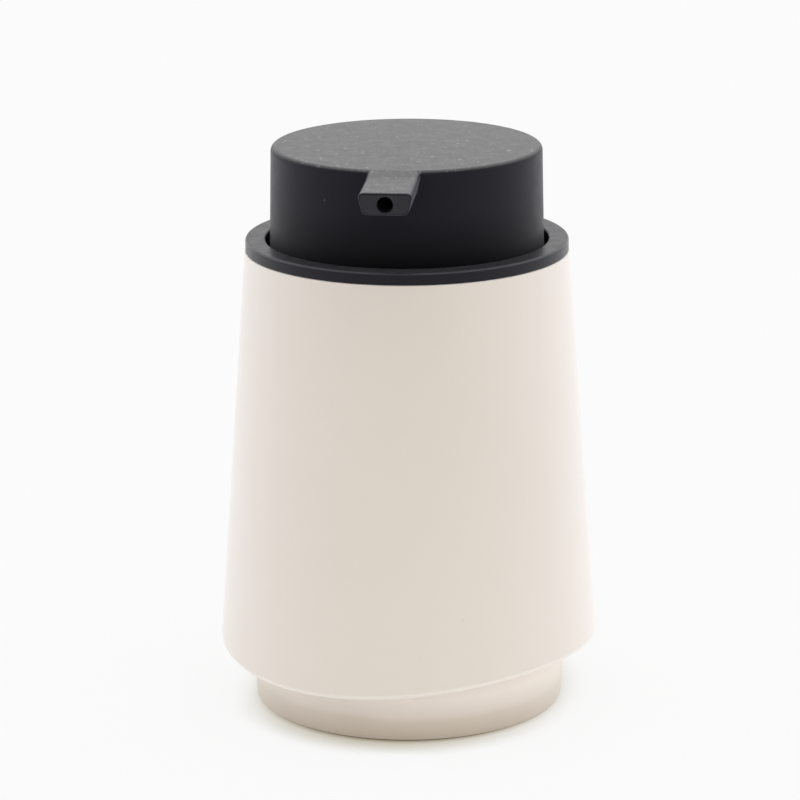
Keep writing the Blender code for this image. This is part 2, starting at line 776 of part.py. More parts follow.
def make_stem_seal(parts, surface):
    """The O-ring in the hub's groove, round the stem."""
    mesh = bpy.data.meshes.new("stem_seal_section")
    shape = bmesh.new()
    ring_r = STEM_R + GAP + ORING_GROOVE_DEPTH / 2
    centre = Matrix.Translation((ring_r, 0, HUB_FOOT_Z + ORING_RISE + ORING_GROOVE_HEIGHT / 2))
    upright = Matrix.Rotation(math.pi / 2, 4, "X")
    bmesh.ops.create_circle(
        shape, segments=FINE_SEGMENTS // 2, radius=ORING_SECTION_R, matrix=centre @ upright
    )
    shape.to_mesh(mesh)
    shape.free()
    ring = add_object("stem_seal", mesh, parts)
    screw = ring.modifiers.new("Turn", "SCREW")
    screw.steps = SMALL_SEGMENTS
    screw.render_steps = SMALL_SEGMENTS
    screw.use_merge_vertices = True
    screw.merge_threshold = MERGE
    return finish(frozen(ring), surface)


def make_actuator_hub(parts, cutters, surface):
    """The disc that carries the button, with ribs, the stem's socket and the way to the spout."""
    socket_r = STEM_R + GAP
    groove_r = socket_r + ORING_GROOVE_DEPTH
    groove_foot_z = HUB_FOOT_Z + ORING_RISE
    groove_top_z = groove_foot_z + ORING_GROOVE_HEIGHT
    disc_r = button_inner_radius(DISC_TOP_Z) - GAP
    hub = turned(
        "actuator_hub",
        [
            (0, HUB_TOP_Z),
            (HUB_R, HUB_TOP_Z),
            (HUB_R, DISC_TOP_Z),
            (disc_r, DISC_TOP_Z),
            (disc_r, DISC_FOOT_Z),
            (HUB_R, DISC_FOOT_Z),
            (HUB_R, HUB_FOOT_Z),
            (socket_r, HUB_FOOT_Z),
            (socket_r, groove_foot_z),
            (groove_r, groove_foot_z),
            (groove_r, groove_top_z),
            (socket_r, groove_top_z),
            (socket_r, SOCKET_ROOF_Z),
            (HUB_CHANNEL_R, SOCKET_ROOF_Z),
            (HUB_CHANNEL_R, HUB_TOP_Z - HUB_ROOF_THICK),
            (0, HUB_TOP_Z - HUB_ROOF_THICK),
        ],
        SMALL_SEGMENTS,
        parts,
    )
    sunk = HUB_RIB_THICK
    rib_length = disc_r - HUB_R
    ribs = []
    for index in range(HUB_RIB_COUNT):
        angle = math.tau * index / HUB_RIB_COUNT
        rib = box(f"add_hub_rib_{index}", (rib_length, HUB_RIB_THICK, HUB_RIB_DEPTH + sunk), cutters)
        rib.rotation_euler.z = angle
        middle_r = HUB_R - sunk + rib_length / 2
        rib_z = DISC_FOOT_Z + (sunk - HUB_RIB_DEPTH) / 2
        rib.location = (middle_r * math.cos(angle), middle_r * math.sin(angle), rib_z)
        ribs.append(rib)
    combine(hub, ribs, "UNION")
    port = cylinder(
        "cut_hub_port", LINER_R + GAP, (0, 0, BORE_Z), (0, -HUB_R - OVERRUN, BORE_Z), FINE_SEGMENTS, cutters
    )
    return finish(combine(hub, [port], "DIFFERENCE"), surface)


def button_inner_radius(height):
    """Radius of the button's inside at a height."""
    share = (TOTAL_HEIGHT - height) / (TOTAL_HEIGHT - BUTTON_FOOT_Z)
    return BUTTON_TOP_R + (BUTTON_FOOT_R - BUTTON_TOP_R) * share - BUTTON_WALL


def spout_outline(rise, inset):
    """Points of the spout's section as (x, z), with its top raised and its whole outline drawn in."""
    top = SPOUT_TOP_WIDTH / 2 - inset
    foot = SPOUT_FOOT_WIDTH / 2 - inset
    top_z = SPOUT_TOP_Z + rise - inset
    foot_z = SPOUT_FOOT_Z + inset
    return rounded(
        [
            (top, top_z, SPOUT_TOP_FILLET - inset),
            (foot, foot_z, SPOUT_FOOT_FILLET - inset),
            (-foot, foot_z, SPOUT_FOOT_FILLET - inset),
            (-top, top_z, SPOUT_TOP_FILLET - inset),
        ]
    )


def spout_stations():
    """The spout's sections from beside the hub to the tip, as (distance, rise, inset)."""
    rise = SPOUT_DROP - SPOUT_SINK
    ramp_start = BUTTON_TOP_R - BUTTON_FILLET
    eased = SPOUT_EDGE * (1 - math.cos(math.pi / 4))
    return [
        (HUB_R + 2 * GAP, rise, 0),
        (ramp_start, rise, 0),
        (ramp_start + SPOUT_RAMP, 0, 0),
        (SPOUT_REACH - SPOUT_EDGE, 0, 0),
        (SPOUT_REACH - eased, 0, eased),
        (SPOUT_REACH, 0, SPOUT_EDGE),
    ]


def make_spout_block(cutters):
    """The spout as a bar through its sections: it falls slightly beside the button, and its end is eased."""
    vertices = []
    for distance, rise, inset in spout_stations():
        outline = spout_outline(rise, inset)
        vertices.extend((x, -distance, z) for x, z in outline)
    count = len(outline)
    last = len(vertices) - count
    faces = [range(count), range(last, len(vertices))]
    for start in range(0, last, count):
        for index in range(count):
            here = start + index
            beside = start + (index + 1) % count
            faces.append((here, beside, beside + count, here + count))
    mesh = bpy.data.meshes.new("add_spout")
    mesh.from_pydata(vertices, [], faces)
    return frozen(add_object("add_spout", mesh, cutters))


def make_button_shell(parts, cutters, surface):
    """The push button: an inverted cup with the spout on it and a recess for the hub in its roof."""
    recess_r = HUB_R + GAP
    shell = turned(
        "button_shell",
        [
            (0, TOTAL_HEIGHT),
            (BUTTON_TOP_R, TOTAL_HEIGHT, BUTTON_FILLET),
            (BUTTON_FOOT_R, BUTTON_FOOT_Z, BUTTON_FOOT_FILLET),
            (BUTTON_FOOT_R - BUTTON_WALL, BUTTON_FOOT_Z),
            (button_inner_radius(BUTTON_ROOF_Z), BUTTON_ROOF_Z),
            (recess_r, BUTTON_ROOF_Z),
            (recess_r, BUTTON_ROOF_Z + HUB_RECESS),
            (0, BUTTON_ROOF_Z + HUB_RECESS),
        ],
        WIDE_SEGMENTS,
        parts,
    )
    combine(shell, [make_spout_block(cutters)], "UNION")
    start = (0, -HUB_R, BORE_Z)
    end = (0, -SPOUT_REACH - OVERRUN, BORE_Z)
    bore = cylinder("cut_spout_bore", SPOUT_BORE_R, start, end, FINE_SEGMENTS, cutters)
    return finish(combine(shell, [bore], "DIFFERENCE"), surface)


def make_spout_liner(parts, surface):
    """The delivery tube: turned upright, then laid along the spout's bore."""
    start_y = HUB_CHANNEL_R + LINER_START
    length = SPOUT_REACH - LINER_RECESS - start_y
    liner = turned(
        "spout_liner",
        [(LINER_R, length), (LINER_R, 0), (LINER_R - LINER_WALL, 0), (LINER_R - LINER_WALL, length)],
        FINE_SEGMENTS,
        parts,
    )
    liner.rotation_euler.x = math.pi / 2
    liner.location = (0, -start_y, BORE_Z)
    return finish(liner, surface)


def main():
    clear_scene()
    parts = make_collection("soap_dispenser")
    cutters = make_collection("soap_dispenser_cutters")

    stoneware = material("cream_stoneware", (0.78, 0.72, 0.64), 0.55)
    pad_rubber = material("pad_rubber", (0.05, 0.05, 0.05), 0.8)
    soft_black = material("soft_black_plastic", (0.030, 0.030, 0.032), 0.5)
    collar_black = material("collar_black_plastic", (0.032, 0.032, 0.034), 0.5)
    silicone = material("clear_silicone", (0.75, 0.76, 0.76), 0.4)
    gasket_foam = material("gasket_foam", (0.70, 0.70, 0.68), 0.7)
    milky = material("milky_plastic", (0.80, 0.81, 0.80), 0.4)
    tube_plastic = material("tube_plastic", (0.82, 0.84, 0.84), 0.3)
    hub_plastic = material("hub_plastic", (0.06, 0.06, 0.06), 0.5)
    nitrile = material("nitrile", (0.02, 0.02, 0.02), 0.6)
    spring_steel = material("spring_steel", (0.60, 0.60, 0.60), 0.3, 1.0)
    ball_steel = material("ball_steel", (0.70, 0.70, 0.70), 0.15, 1.0)

    make_body_shell(parts, stoneware)
    make_base_pad(parts, pad_rubber)
    make_collar_ring(parts, collar_black)
    make_collar_seal(parts, silicone)
    make_housing_gasket(parts, gasket_foam)
    make_pump_housing(parts, milky)
    make_lock_ring(parts, cutters, milky)
    make_stem_guide(parts, milky)
    make_stem(parts, milky)
    make_piston(parts, milky)
    make_piston_retainer(parts, milky)
    make_return_spring(parts, spring_steel)
    make_valve_cage(parts, cutters, milky)
    finish(ball("inlet_ball", INLET_BALL_R, INLET_BALL_Z, parts), ball_steel)
    make_dip_tube(parts, cutters, tube_plastic)
    finish(ball("outlet_ball", OUTLET_BALL_R, OUTLET_BALL_Z, parts), ball_steel)
    make_outlet_cage(parts, cutters, milky)
    make_stem_seal(parts, nitrile)
    make_actuator_hub(parts, cutters, hub_plastic)
    make_button_shell(parts, cutters, soft_black)
    make_spout_liner(parts, hub_plastic)


main()
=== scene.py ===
import math

import bmesh
import bpy
from mathutils import Matrix, Vector


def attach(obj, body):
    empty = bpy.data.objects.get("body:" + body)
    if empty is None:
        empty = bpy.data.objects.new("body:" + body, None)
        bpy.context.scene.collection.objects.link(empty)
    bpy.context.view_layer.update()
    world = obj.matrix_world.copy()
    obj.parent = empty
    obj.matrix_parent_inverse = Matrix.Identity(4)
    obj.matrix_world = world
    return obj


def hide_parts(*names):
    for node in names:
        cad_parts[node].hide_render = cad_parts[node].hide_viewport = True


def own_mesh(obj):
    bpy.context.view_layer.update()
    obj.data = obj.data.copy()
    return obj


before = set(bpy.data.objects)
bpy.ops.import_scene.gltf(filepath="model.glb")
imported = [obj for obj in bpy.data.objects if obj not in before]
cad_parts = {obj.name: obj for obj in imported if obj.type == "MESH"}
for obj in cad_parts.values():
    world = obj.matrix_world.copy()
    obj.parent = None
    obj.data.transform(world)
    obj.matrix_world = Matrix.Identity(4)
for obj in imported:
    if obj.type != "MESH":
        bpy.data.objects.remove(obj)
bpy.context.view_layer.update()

# The soap dispenser's 21 pieces, built finer than their solids.
# Shapes are written in millimetres. Materials, stage and camera work in metres.

SCENE = bpy.context.scene
MM = 0.001
ON_AXIS = 1e-6  # a point nearer to the axis than this becomes a pole

# Facets round a turned piece, from the vessel down to a drilled hole
WIDE, BROAD, MEDIUM, NARROW, SLIM, SMALL, DRILLED = 256, 192, 128, 96, 72, 64, 32


# Node trees

NOISE_MIDDLE = (0.3, 0.7)  # most of a noise pattern's values lie between these
SEED_AXES = (1.0, 0.7, 1.3)
SPECK_WARP, SPECK_WARP_SCALE = 0.55, 2.3  # how far and how finely the cells are bent
SPECK_EDGE = (0.7, 1.1)  # a speck fades out between these shares of its radius
SPECK_LEAST, SPECK_FAINTEST = 0.4, 0.35  # the smallest and the faintest, as shares


def shade(colour, gain):
    return tuple(min(1.0, channel * gain) for channel in colour)


class Tree:
    """A short way to build a node tree."""

    def __init__(self, tree):
        self.tree = tree

    def add(self, kind, **values):
        node = self.tree.nodes.new(kind)
        for key, value in values.items():
            setattr(node, key, value)
        return node

    def feed(self, socket, value):
        """Links a socket to another one, or sets it to a plain value."""
        if isinstance(value, bpy.types.NodeSocket):
            self.tree.links.new(value, socket)
        else:
            socket.default_value = value

    def feed_all(self, node, values):
        for key, value in values.items():
            self.feed(node.inputs[key], value)

    def ramp(self, source, low, high, out_low=0.0, out_high=1.0, curve="LINEAR"):
        """Turns one range of values into another, and holds its ends."""
        node = self.add("ShaderNodeMapRange", clamp=True, interpolation_type=curve)
        ends = {"From Min": low, "From Max": high, "To Min": out_low, "To Max": out_high}
        self.feed_all(node, {"Value": source, **ends})
        return node.outputs["Result"]

    def math(self, operation, *values):
        node = self.add("ShaderNodeMath", operation=operation)
        self.feed_all(node, dict(enumerate(values)))
        return node.outputs["Value"]

    def vector(self, operation, *values):
        node = self.add("ShaderNodeVectorMath", operation=operation)
        self.feed_all(node, dict(enumerate(values)))
        return node.outputs["Vector"]

    def split(self, source):
        node = self.add("ShaderNodeSeparateXYZ")
        self.feed(node.inputs["Vector"], source)
        return node.outputs

    def mix(self, share, first, second):
        """Blends two colours, each a tuple of three numbers or a socket."""
        node = self.add("ShaderNodeMix", data_type="RGBA")
        self.feed(node.inputs["Factor"], share)
        for name, value in (("A", first), ("B", second)):
            socket = next(s for s in node.inputs if s.name == name and s.type == "RGBA")
            self.feed(socket, (*value, 1.0) if isinstance(value, tuple) else value)
        return next(s for s in node.outputs if s.type == "RGBA")


class Surface(Tree):
    """One material, and the patterns that it is made of. A pattern's scale is per metre."""

    def __init__(self, name):
        self.material = bpy.data.materials.new(name)
        self.material.use_nodes = True
        super().__init__(self.material.node_tree)
        self.shader = self.tree.nodes["Principled BSDF"]
        self.place = self.add("ShaderNodeTexCoord").outputs["Object"]

    def set(self, **values):
        """Values for the shader's own sockets, by name with _ for a blank."""
        for key, value in values.items():
            self.shader.inputs[key.replace("_", " ")].default_value = value

    def colour(self, source):
        self.feed(self.shader.inputs["Base Color"], source)

    def roughness(self, source):
        self.feed(self.shader.inputs["Roughness"], source)

    def bump(self, height, distance, strength, under=None):
        """Raises the surface by a pattern, over another bump if one is given."""
        node = self.add("ShaderNodeBump")
        self.feed_all(node, {"Height": height, "Distance": distance, "Strength": strength})
        if under:
            self.feed(node.inputs["Normal"], under)
        self.feed(self.shader.inputs["Normal"], node.outputs["Normal"])
        return node.outputs["Normal"]

    def mapped(self, scale, location=(0.0, 0.0, 0.0)):
        node = self.add("ShaderNodeMapping")
        self.feed_all(node, {"Vector": self.place, "Scale": scale, "Location": location})
        return node.outputs["Vector"]

    def noise(self, scale, detail=2.0, rough=0.5, stretch=None):
        node = self.add("ShaderNodeTexNoise")
        place = self.mapped(stretch) if stretch else self.place
        self.feed_all(node, {"Vector": place, "Scale": scale, "Detail": detail, "Roughness": rough})
        return node.outputs["Fac"]

    def spread(self, pattern, low=0.0, high=1.0):
        """A value that goes from low to high over the middle of a noise pattern."""
        return self.ramp(pattern, *NOISE_MIDDLE, low, high)

    def tinted(self, pattern, base, darker, lighter):
        """A colour that goes with a pattern from one gain of the base to another."""
        return self.mix(pattern, shade(base, darker), shade(base, lighter))

    def uneven(self, height, scale, wobble):
        """A height that wanders up and down a little."""
        return self.math("ADD", height, self.spread(self.noise(scale, 3), -wobble, wobble))

    def specks(self, scale, size, share, seed, long=1.0):
        """Small irregular spots of uneven strength, one in a share of a Voronoi pattern's cells."""
        place = self.mapped((1.0, 1.0 / long, 1.0), tuple(seed * axis for axis in SEED_AXES))
        warp = self.add("ShaderNodeTexNoise")
        self.feed_all(warp, {"Vector": place, "Scale": scale * SPECK_WARP_SCALE})
        bent = self.vector("MULTIPLY_ADD", warp.outputs["Color"], (SPECK_WARP / scale,) * 3, place)
        cell = self.add("ShaderNodeTexVoronoi")
        self.feed_all(cell, {"Vector": bent, "Scale": scale})
        pick = self.add("ShaderNodeSeparateColor")
        self.feed(pick.inputs["Color"], cell.outputs["Color"])
        reach = self.ramp(pick.outputs["Green"], 0.0, 1.0, size * SPECK_LEAST, size)
        inside = self.ramp(
            self.math("DIVIDE", cell.outputs["Distance"], reach), *SPECK_EDGE, 1.0, 0.0
        )
        chosen = self.math("LESS_THAN", pick.outputs["Red"], share)
        strength = self.ramp(pick.outputs["Blue"], 0.0, 1.0, SPECK_FAINTEST, 1.0)
        return self.math("MULTIPLY", self.math("MULTIPLY", inside, chosen), strength)


# Materials

GLAZE_TINT = (0.985, 0.975, 0.98)  # of the stoneware's sheen
GROUND_SHADE_FADE = (0.0, 0.0060)  # heights between which the dark painted shade at the ground goes over into the base colour
BOUNCE_LIGHT_FADE = (0.0045, 0.0095)  # and the base colour into a paler one under the skirt, a painted bounce light
PAINTED_BOUNCE_LIGHT = (0.830, 0.745, 0.675)
FACING_UP = (0.55, 0.97)  # the normal's Z where the upward grey, part dust and part painted top light, and the dust specks begin, and where they are whole
COOL_TINT = (0.90, 0.90, 1.0, 1.0)  # of the soft black's gloss and sheen
DUST = (0.30, 0.30, 0.302)
DEPTH = 0.002  # how far light goes into the milky plastics


def stoneware(name, base, rough, grain, foot=None, tint=GLAZE_TINT, sheen_rough=0.68):
    """Fired clay under a matt glaze: clouds, faint specks and a skin like an eggshell's.

    foot is a dark colour painted at the ground as shade.
    """
    n = Surface(name)
    cloudy = n.tinted(n.spread(n.noise(26, 3)), base, 0.985, 1.012)
    pale = n.mix(n.specks(950, 0.28, 0.05, seed=3.1), cloudy, shade(base, 1.05))
    colour = n.mix(n.specks(430, 0.16, 0.018, seed=8.4), pale, shade(base, 0.90))
    if foot:
        # Painted shade darkens the foot towards the ground, and painted bounce light makes it paler
        # under the skirt
        height = n.uneven(n.split(n.place)["Z"], 70, 0.0004)
        colour = n.mix(n.ramp(height, *GROUND_SHADE_FADE), foot, colour)
        colour = n.mix(n.ramp(height, *BOUNCE_LIGHT_FADE), colour, PAINTED_BOUNCE_LIGHT)
    n.colour(colour)
    n.roughness(n.spread(n.noise(240, 4), *rough))
    eggshell = n.bump(n.noise(90), 0.00006, 0.5)
    n.bump(n.noise(2600, 3, 0.6), grain, 0.6, eggshell)
    n.set(Specular_IOR_Level=0.45, Sheen_Weight=0.95)
    n.set(Sheen_Roughness=sheen_rough, Sheen_Tint=(*tint, 1.0))
    return n.material


def soft_black(
    name, base, film_and_top_light, dusty, rough=0.40, spec=0.11, sheen=0.125, sheen_rough=0.60, painted_ring_shade=None
):
    """Black plastic with a soft-touch coat. Where it faces up it turns grey, partly with dust and
    partly with painted light from above, and has pale specks of dust.

    film is the upward grey, part dust and part painted light from above, and dusty the strength
    of the dust. rubbed gives two heights and a colour of painted shade: the wall darkens to that
    colour below the first, where the ring shades it, and keeps its own colour above the second.
    """
    n = Surface(name)
    spot = n.split(n.place)
    normal = n.add("ShaderNodeNewGeometry").outputs["Normal"]
    up = n.ramp(n.split(normal)["Z"], *FACING_UP)
    bare = n.tinted(n.spread(n.noise(60, 3)), base, 0.95, 1.05)
    # Painted shade: the wall darkens towards the ring, which shades it
    if painted_ring_shade:
        low, high, dark = painted_ring_shade
        bare = n.mix(n.ramp(n.uneven(spot["Z"], 90, 0.0003), low, high), dark, bare)
    # The upward grey, part dust and part painted top light, is mottled, and thicker towards the
    # back
    mottle = n.ramp(n.noise(700, 3, 0.6, stretch=(1.0, 0.45, 1.0)), 0.32, 0.68, 0.0, 0.6)
    thick = n.math("ADD", mottle, n.ramp(spot["Y"], -0.03, 0.03, 0.0, 0.4))
    coat = n.mix(up, bare, n.tinted(thick, (film_and_top_light, film_and_top_light, film_and_top_light * 0.965), 0.84, 1.12))
    # Fine dust nearly everywhere, coarser dust in drifts, and a few bright grains
    crowd = n.ramp(n.noise(70, 4, 0.6), 0.42, 0.62, 0.12, 0.8)
    fine = n.math("MULTIPLY", n.specks(1400, 0.42, 0.7, seed=1.7, long=1.8), 0.42)
    coarse = n.math("MULTIPLY", n.specks(700, 0.33, crowd, seed=5.2, long=1.8), 0.62)
    bright = n.specks(330, 0.15, 0.06, seed=2.6, long=1.7)
    dust = n.math("MAXIMUM", n.math("MAXIMUM", fine, coarse), bright)
    dust = n.math("MULTIPLY", n.math("MULTIPLY", dust, up), dusty)
    stray = n.math("MULTIPLY", n.specks(400, 0.10, 0.010, seed=9.1), 0.35)
    n.colour(n.mix(n.math("MAXIMUM", dust, stray), coat, DUST))
    n.roughness(n.spread(n.noise(330, 4), rough - 0.04, rough + 0.04))
    grain = n.bump(n.noise(5200, 2, 0.6), 0.00002, 0.5)
    n.bump(n.noise(1500, 3, 0.55), 0.00003, 0.5, grain)
    n.set(Specular_IOR_Level=spec, Specular_Tint=COOL_TINT)
    n.set(Sheen_Weight=sheen, Sheen_Roughness=sheen_rough, Sheen_Tint=COOL_TINT)
    return n.material


def moulded(name, base, rough, flow, sss=0.0, spec=0.5):
    """Bare injection-moulded plastic: faint flow lines and a fine eroded grain."""
    n = Surface(name)
    lines = n.noise(flow, 3, stretch=(1.0, 1.0, 0.25))
    n.colour(n.tinted(n.spread(lines), base, 0.95, 1.04))
    n.roughness(n.spread(n.noise(300, 3), *rough))
    n.bump(n.noise(1800, 3), 0.00002, 0.5)
    n.set(Subsurface_Weight=sss, Subsurface_Scale=DEPTH, Specular_IOR_Level=spec)
    return n.material


def rubber(name, base, rough, spec=0.4):
    """Matt rubber with a dusty bloom."""
    n = Surface(name)
    n.colour(n.tinted(n.ramp(n.noise(75, 4, 0.6), 0.35, 0.7), base, 0.9, 1.25))
    n.roughness(n.spread(n.noise(420, 3), *rough))
    n.bump(n.noise(2400, 3, 0.6), 0.00004, 0.6)
    n.set(Specular_IOR_Level=spec)
    return n.material


def silicone(name, base):
    """Clear soft rubber, a little cloudy."""
    n = Surface(name)
    n.colour(n.tinted(n.spread(n.noise(120, 3)), base, 0.96, 1.03))
    n.roughness(n.spread(n.noise(500, 3), 0.32, 0.46))
    n.bump(n.noise(1500), 0.00002, 0.4)
    n.set(Subsurface_Weight=0.35, Subsurface_Scale=DEPTH, Transmission_Weight=0.12, IOR=1.41)
    return n.material


def foam(name, wall, cell):
    """Closed-cell gasket sheet, with its cut cells."""
    n = Surface(name)
    cells = n.add("ShaderNodeTexVoronoi")
    n.feed_all(cells, {"Vector": n.place, "Scale": 3000})
    n.colour(n.mix(n.ramp(cells.outputs["Distance"], 0.0, 0.6), wall, cell))
    n.roughness(n.spread(n.noise(600), 0.7, 0.85))
    n.bump(cells.outputs["Distance"], 0.00008, 0.6)
    return n.material


def extruded(name, base):
    """Clear tube with draw lines along its length."""
    n = Surface(name)
    lines = n.noise(1400, stretch=(1.0, 1.0, 0.01))
    n.colour(n.tinted(n.spread(lines), base, 0.96, 1.03))
    n.roughness(n.spread(lines, 0.22, 0.34))
    n.bump(lines, 0.00002, 0.4)
    n.set(Subsurface_Weight=0.25, Subsurface_Scale=DEPTH, Transmission_Weight=0.25, IOR=1.5)
    return n.material


def steel(name, base, rough, stretch):
    """Bare metal with fine lines."""
    n = Surface(name)
    lines = n.noise(2600, 3, 0.6, stretch=stretch)
    n.colour(n.tinted(n.spread(lines), base, 0.92, 1.05))
    n.roughness(n.spread(lines, *rough))
    n.bump(lines, 0.00001, 0.4)
    n.set(Metallic=1.0)
    return n.material


CREAM = stoneware("cream_stoneware", (0.681, 0.606, 0.530), (0.46, 0.60), 0.00003)
# A paler copy of the cream, painted on the skirt's rounded edge as a highlight
CREAM_EDGE_HIGHLIGHT = stoneware("cream_painted_edge_highlight", (0.768, 0.693, 0.616), (0.46, 0.60), 0.00003)
# The foot's cream: a darker, browner copy of the body's as painted shade under the skirt, with
# painted shade at the ground and painted bounce light below the skirt
CREAM_FOOT_SHADED = stoneware(
    "cream_foot_painted_shade", (0.578, 0.497, 0.394), (0.62, 0.78), 0.00006,
    foot=(0.350, 0.262, 0.170), tint=(1.0, 0.96, 0.915), sheen_rough=0.85,
)
CREAM_INSIDE = stoneware("cream_glaze_inside", (0.700, 0.640, 0.575), (0.18, 0.28), 0.00001)
# The button's top: a grey that is part dust and part painted light from above, and dust specks
BLACK_TOP = soft_black("button_top_dust_and_top_light", (0.0034, 0.0034, 0.0052), film_and_top_light=0.105, dusty=1.0)
# The wall: a lighter base than the top's, painted in place of part of its gloss, and painted shade
# that darkens it near the ring
BLACK = soft_black(
    "button_soft_black", (0.0086, 0.0086, 0.0120), film_and_top_light=0.02, dusty=0.2,
    spec=0.065, sheen=0.143, sheen_rough=0.53, painted_ring_shade=(0.1085, 0.1180, (0.0003, 0.0003, 0.0004)),
)
BLACK_RING = soft_black(
    "collar_soft_black", (0.0030, 0.0030, 0.0042), film_and_top_light=0.002, dusty=0.07,
    rough=0.32, spec=0.18, sheen=0.12,
)
BLACK_RING_TOP = soft_black(
    "collar_top_black", (0.0030, 0.0030, 0.0042), film_and_top_light=0.002, dusty=0.07,
    rough=0.32, spec=0.40, sheen=0.070,
)
# A lighter black along the ring's outer top edge: a painted highlight, on top of its real gloss
BLACK_EDGE = soft_black(
    "collar_painted_edge_highlight", (0.0120, 0.0120, 0.0140), film_and_top_light=0.007, dusty=0.10,
    rough=0.30, spec=0.60, sheen=0.13,
)
BLACK_TIP = soft_black("spout_tip_black", (0.0230, 0.0226, 0.0255), film_and_top_light=0.064, dusty=0.30)
BLACK_BARE = moulded("bare_black_plastic", (0.010, 0.010, 0.012), (0.50, 0.60), flow=60, spec=0.25)
HUB = moulded("hub_dark_plastic", (0.055, 0.055, 0.058), (0.36, 0.50), flow=60)
PAD = rubber("pad_rubber", (0.030, 0.030, 0.031), (0.72, 0.86))
NITRILE = rubber("seal_nitrile", (0.018, 0.018, 0.018), (0.5, 0.62), spec=0.5)
LINER = moulded("liner_black_plastic", (0.003, 0.003, 0.003), (0.60, 0.70), flow=60, spec=0.05)
MILKY = moulded("milky_plastic", (0.76, 0.775, 0.765), (0.30, 0.42), flow=45, sss=0.35)
SILICONE = silicone("clear_silicone", (0.74, 0.75, 0.74))
FOAM = foam("gasket_foam", (0.72, 0.71, 0.68), (0.60, 0.59, 0.56))
TUBE = extruded("tube_plastic", (0.80, 0.82, 0.82))
WIRE = steel("spring_wire", (0.58, 0.575, 0.565), (0.24, 0.36), stretch=(1.0, 1.0, 1.0))
BALL = steel("polished_ball", (0.66, 0.66, 0.65), (0.08, 0.14), stretch=(0.4, 0.4, 0.4))


# Shapes

SHARP = 38  # degrees between two faces from which their edge is a real corner
FACE_WEIGHT = 80  # how much more a large face counts in the shading


def rounded(corners, steps=6):
    """Points of an outline of corners (r, z) in mm, or (r, z, radius) where one is an arc."""
    points = []
    for index, corner in enumerate(corners):
        here = Vector(corner[:2])
        radius = corner[2] if len(corner) > 2 else 0
        if not radius:
            points.append(here)
            continue
        back = (Vector(corners[index - 1][:2]) - here).normalized()
        ahead = (Vector(corners[(index + 1) % len(corners)][:2]) - here).normalized()
        half = back.angle(ahead) / 2
        centre = here + (back + ahead).normalized() * (radius / math.sin(half))
        start = here + back * (radius / math.tan(half)) - centre
        end = here + ahead * (radius / math.tan(half)) - centre
        sweep = start.angle_signed(end)
        for step in range(steps + 1):
            points.append(centre + Matrix.Rotation(-sweep * step / steps, 2) @ start)
    return points


def new_object(name, vertices, faces, skins, slots=None):
    """A mesh from points in mm. slots gives each face the number of its skin."""
    mesh = bpy.data.meshes.new(name)
    mesh.from_pydata([tuple(c * MM for c in v) for v in vertices], [], faces)
    for skin in skins:
        mesh.materials.append(skin)
    if slots:
        mesh.polygons.foreach_set("material_index", slots)
    obj = bpy.data.objects.new(name, mesh)
    SCENE.collection.objects.link(obj)
    work = bmesh.new()
    work.from_mesh(mesh)
    bmesh.ops.recalc_face_normals(work, faces=work.faces)
    work.to_mesh(mesh)
    work.free()
    return obj


def smooth(obj, angle=SHARP):
    """Smooth shading that keeps flats flat and real corners sharp."""
    obj.data.shade_smooth()
    obj.data.set_sharp_from_angle(angle=math.radians(angle))
    weighted = obj.modifiers.new("weighted", "WEIGHTED_NORMAL")
    weighted.keep_sharp = True
    weighted.weight = FACE_WEIGHT
    return obj


def band(a, b):
    """Faces between two rings of points, of which one may be a single pole."""
    count = max(len(a), len(b))
    faces = []
    for k in range(count):
        m = (k + 1) % count
        if len(a) == 1:
            faces.append((a[0], b[k], b[m]))
        elif len(b) == 1:
            faces.append((a[k], b[0], a[m]))
        else:
            faces.append((a[k], b[k], b[m], a[m]))
    return faces


def lathe(name, outline, segments, skins, skin_of=None, move=None):
    """An outline of (r, z) in mm turned round Z. Points on the axis become poles.

    skin_of says which of the skins a band has, and move shifts the points.
    """
    rings, vertices = [], []
    for r, z in outline:
        if r < ON_AXIS:
            rings.append([len(vertices)])
            vertices.append((0, 0, z))
            continue
        rings.append(list(range(len(vertices), len(vertices) + segments)))
        for k in range(segments):
            angle = math.tau * k / segments
            point = (r * math.cos(angle), r * math.sin(angle), z)
            vertices.append(move(point) if move else point)
    faces, slots = [], []
    closed = outline[0][0] > ON_AXIS
    for index in range(len(rings) if closed else len(rings) - 1):
        a, b = rings[index], rings[(index + 1) % len(rings)]
        if len(a) == 1 and len(b) == 1:
            continue
        faces += band(a, b)
        slots += [skins.index(skin_of(index)) if skin_of else 0] * segments
    return smooth(new_object(name, vertices, faces, skins, slots))


def put(obj, body, slot, *nodes):
    """Gives a piece its body and hides the solids that it replaces. slot, the name of its finish,
    is not used.
    """
    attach(obj, body)
    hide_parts(*nodes)
    return obj


def turned(name, corners, skin, body, slot, node, steps=4, segments=NARROW):
    return put(lathe(name, rounded(corners, steps), segments, [skin]), body, slot, node)


def combine(obj, tool, operation):
    """Cuts a tool out of a mesh, or joins it to it, for good."""
    bpy.context.view_layer.update()
    step = obj.modifiers.new("combine", "BOOLEAN")
    step.operation = operation
    step.solver = "EXACT"
    step.object = tool
    with bpy.context.temp_override(object=obj, active_object=obj, selected_objects=[obj]):
        while obj.modifiers[0].name != "combine":
            bpy.ops.object.modifier_move_up(modifier="combine")
        bpy.ops.object.modifier_apply(modifier="combine")
    mesh = tool.data
    bpy.data.objects.remove(tool)
    bpy.data.meshes.remove(mesh)


def around(radius, angle, height=0.0):
    """A place beside the axis in metres, from a radius and a height in mm."""
    return (radius * MM * math.cos(angle), radius * MM * math.sin(angle), height * MM)


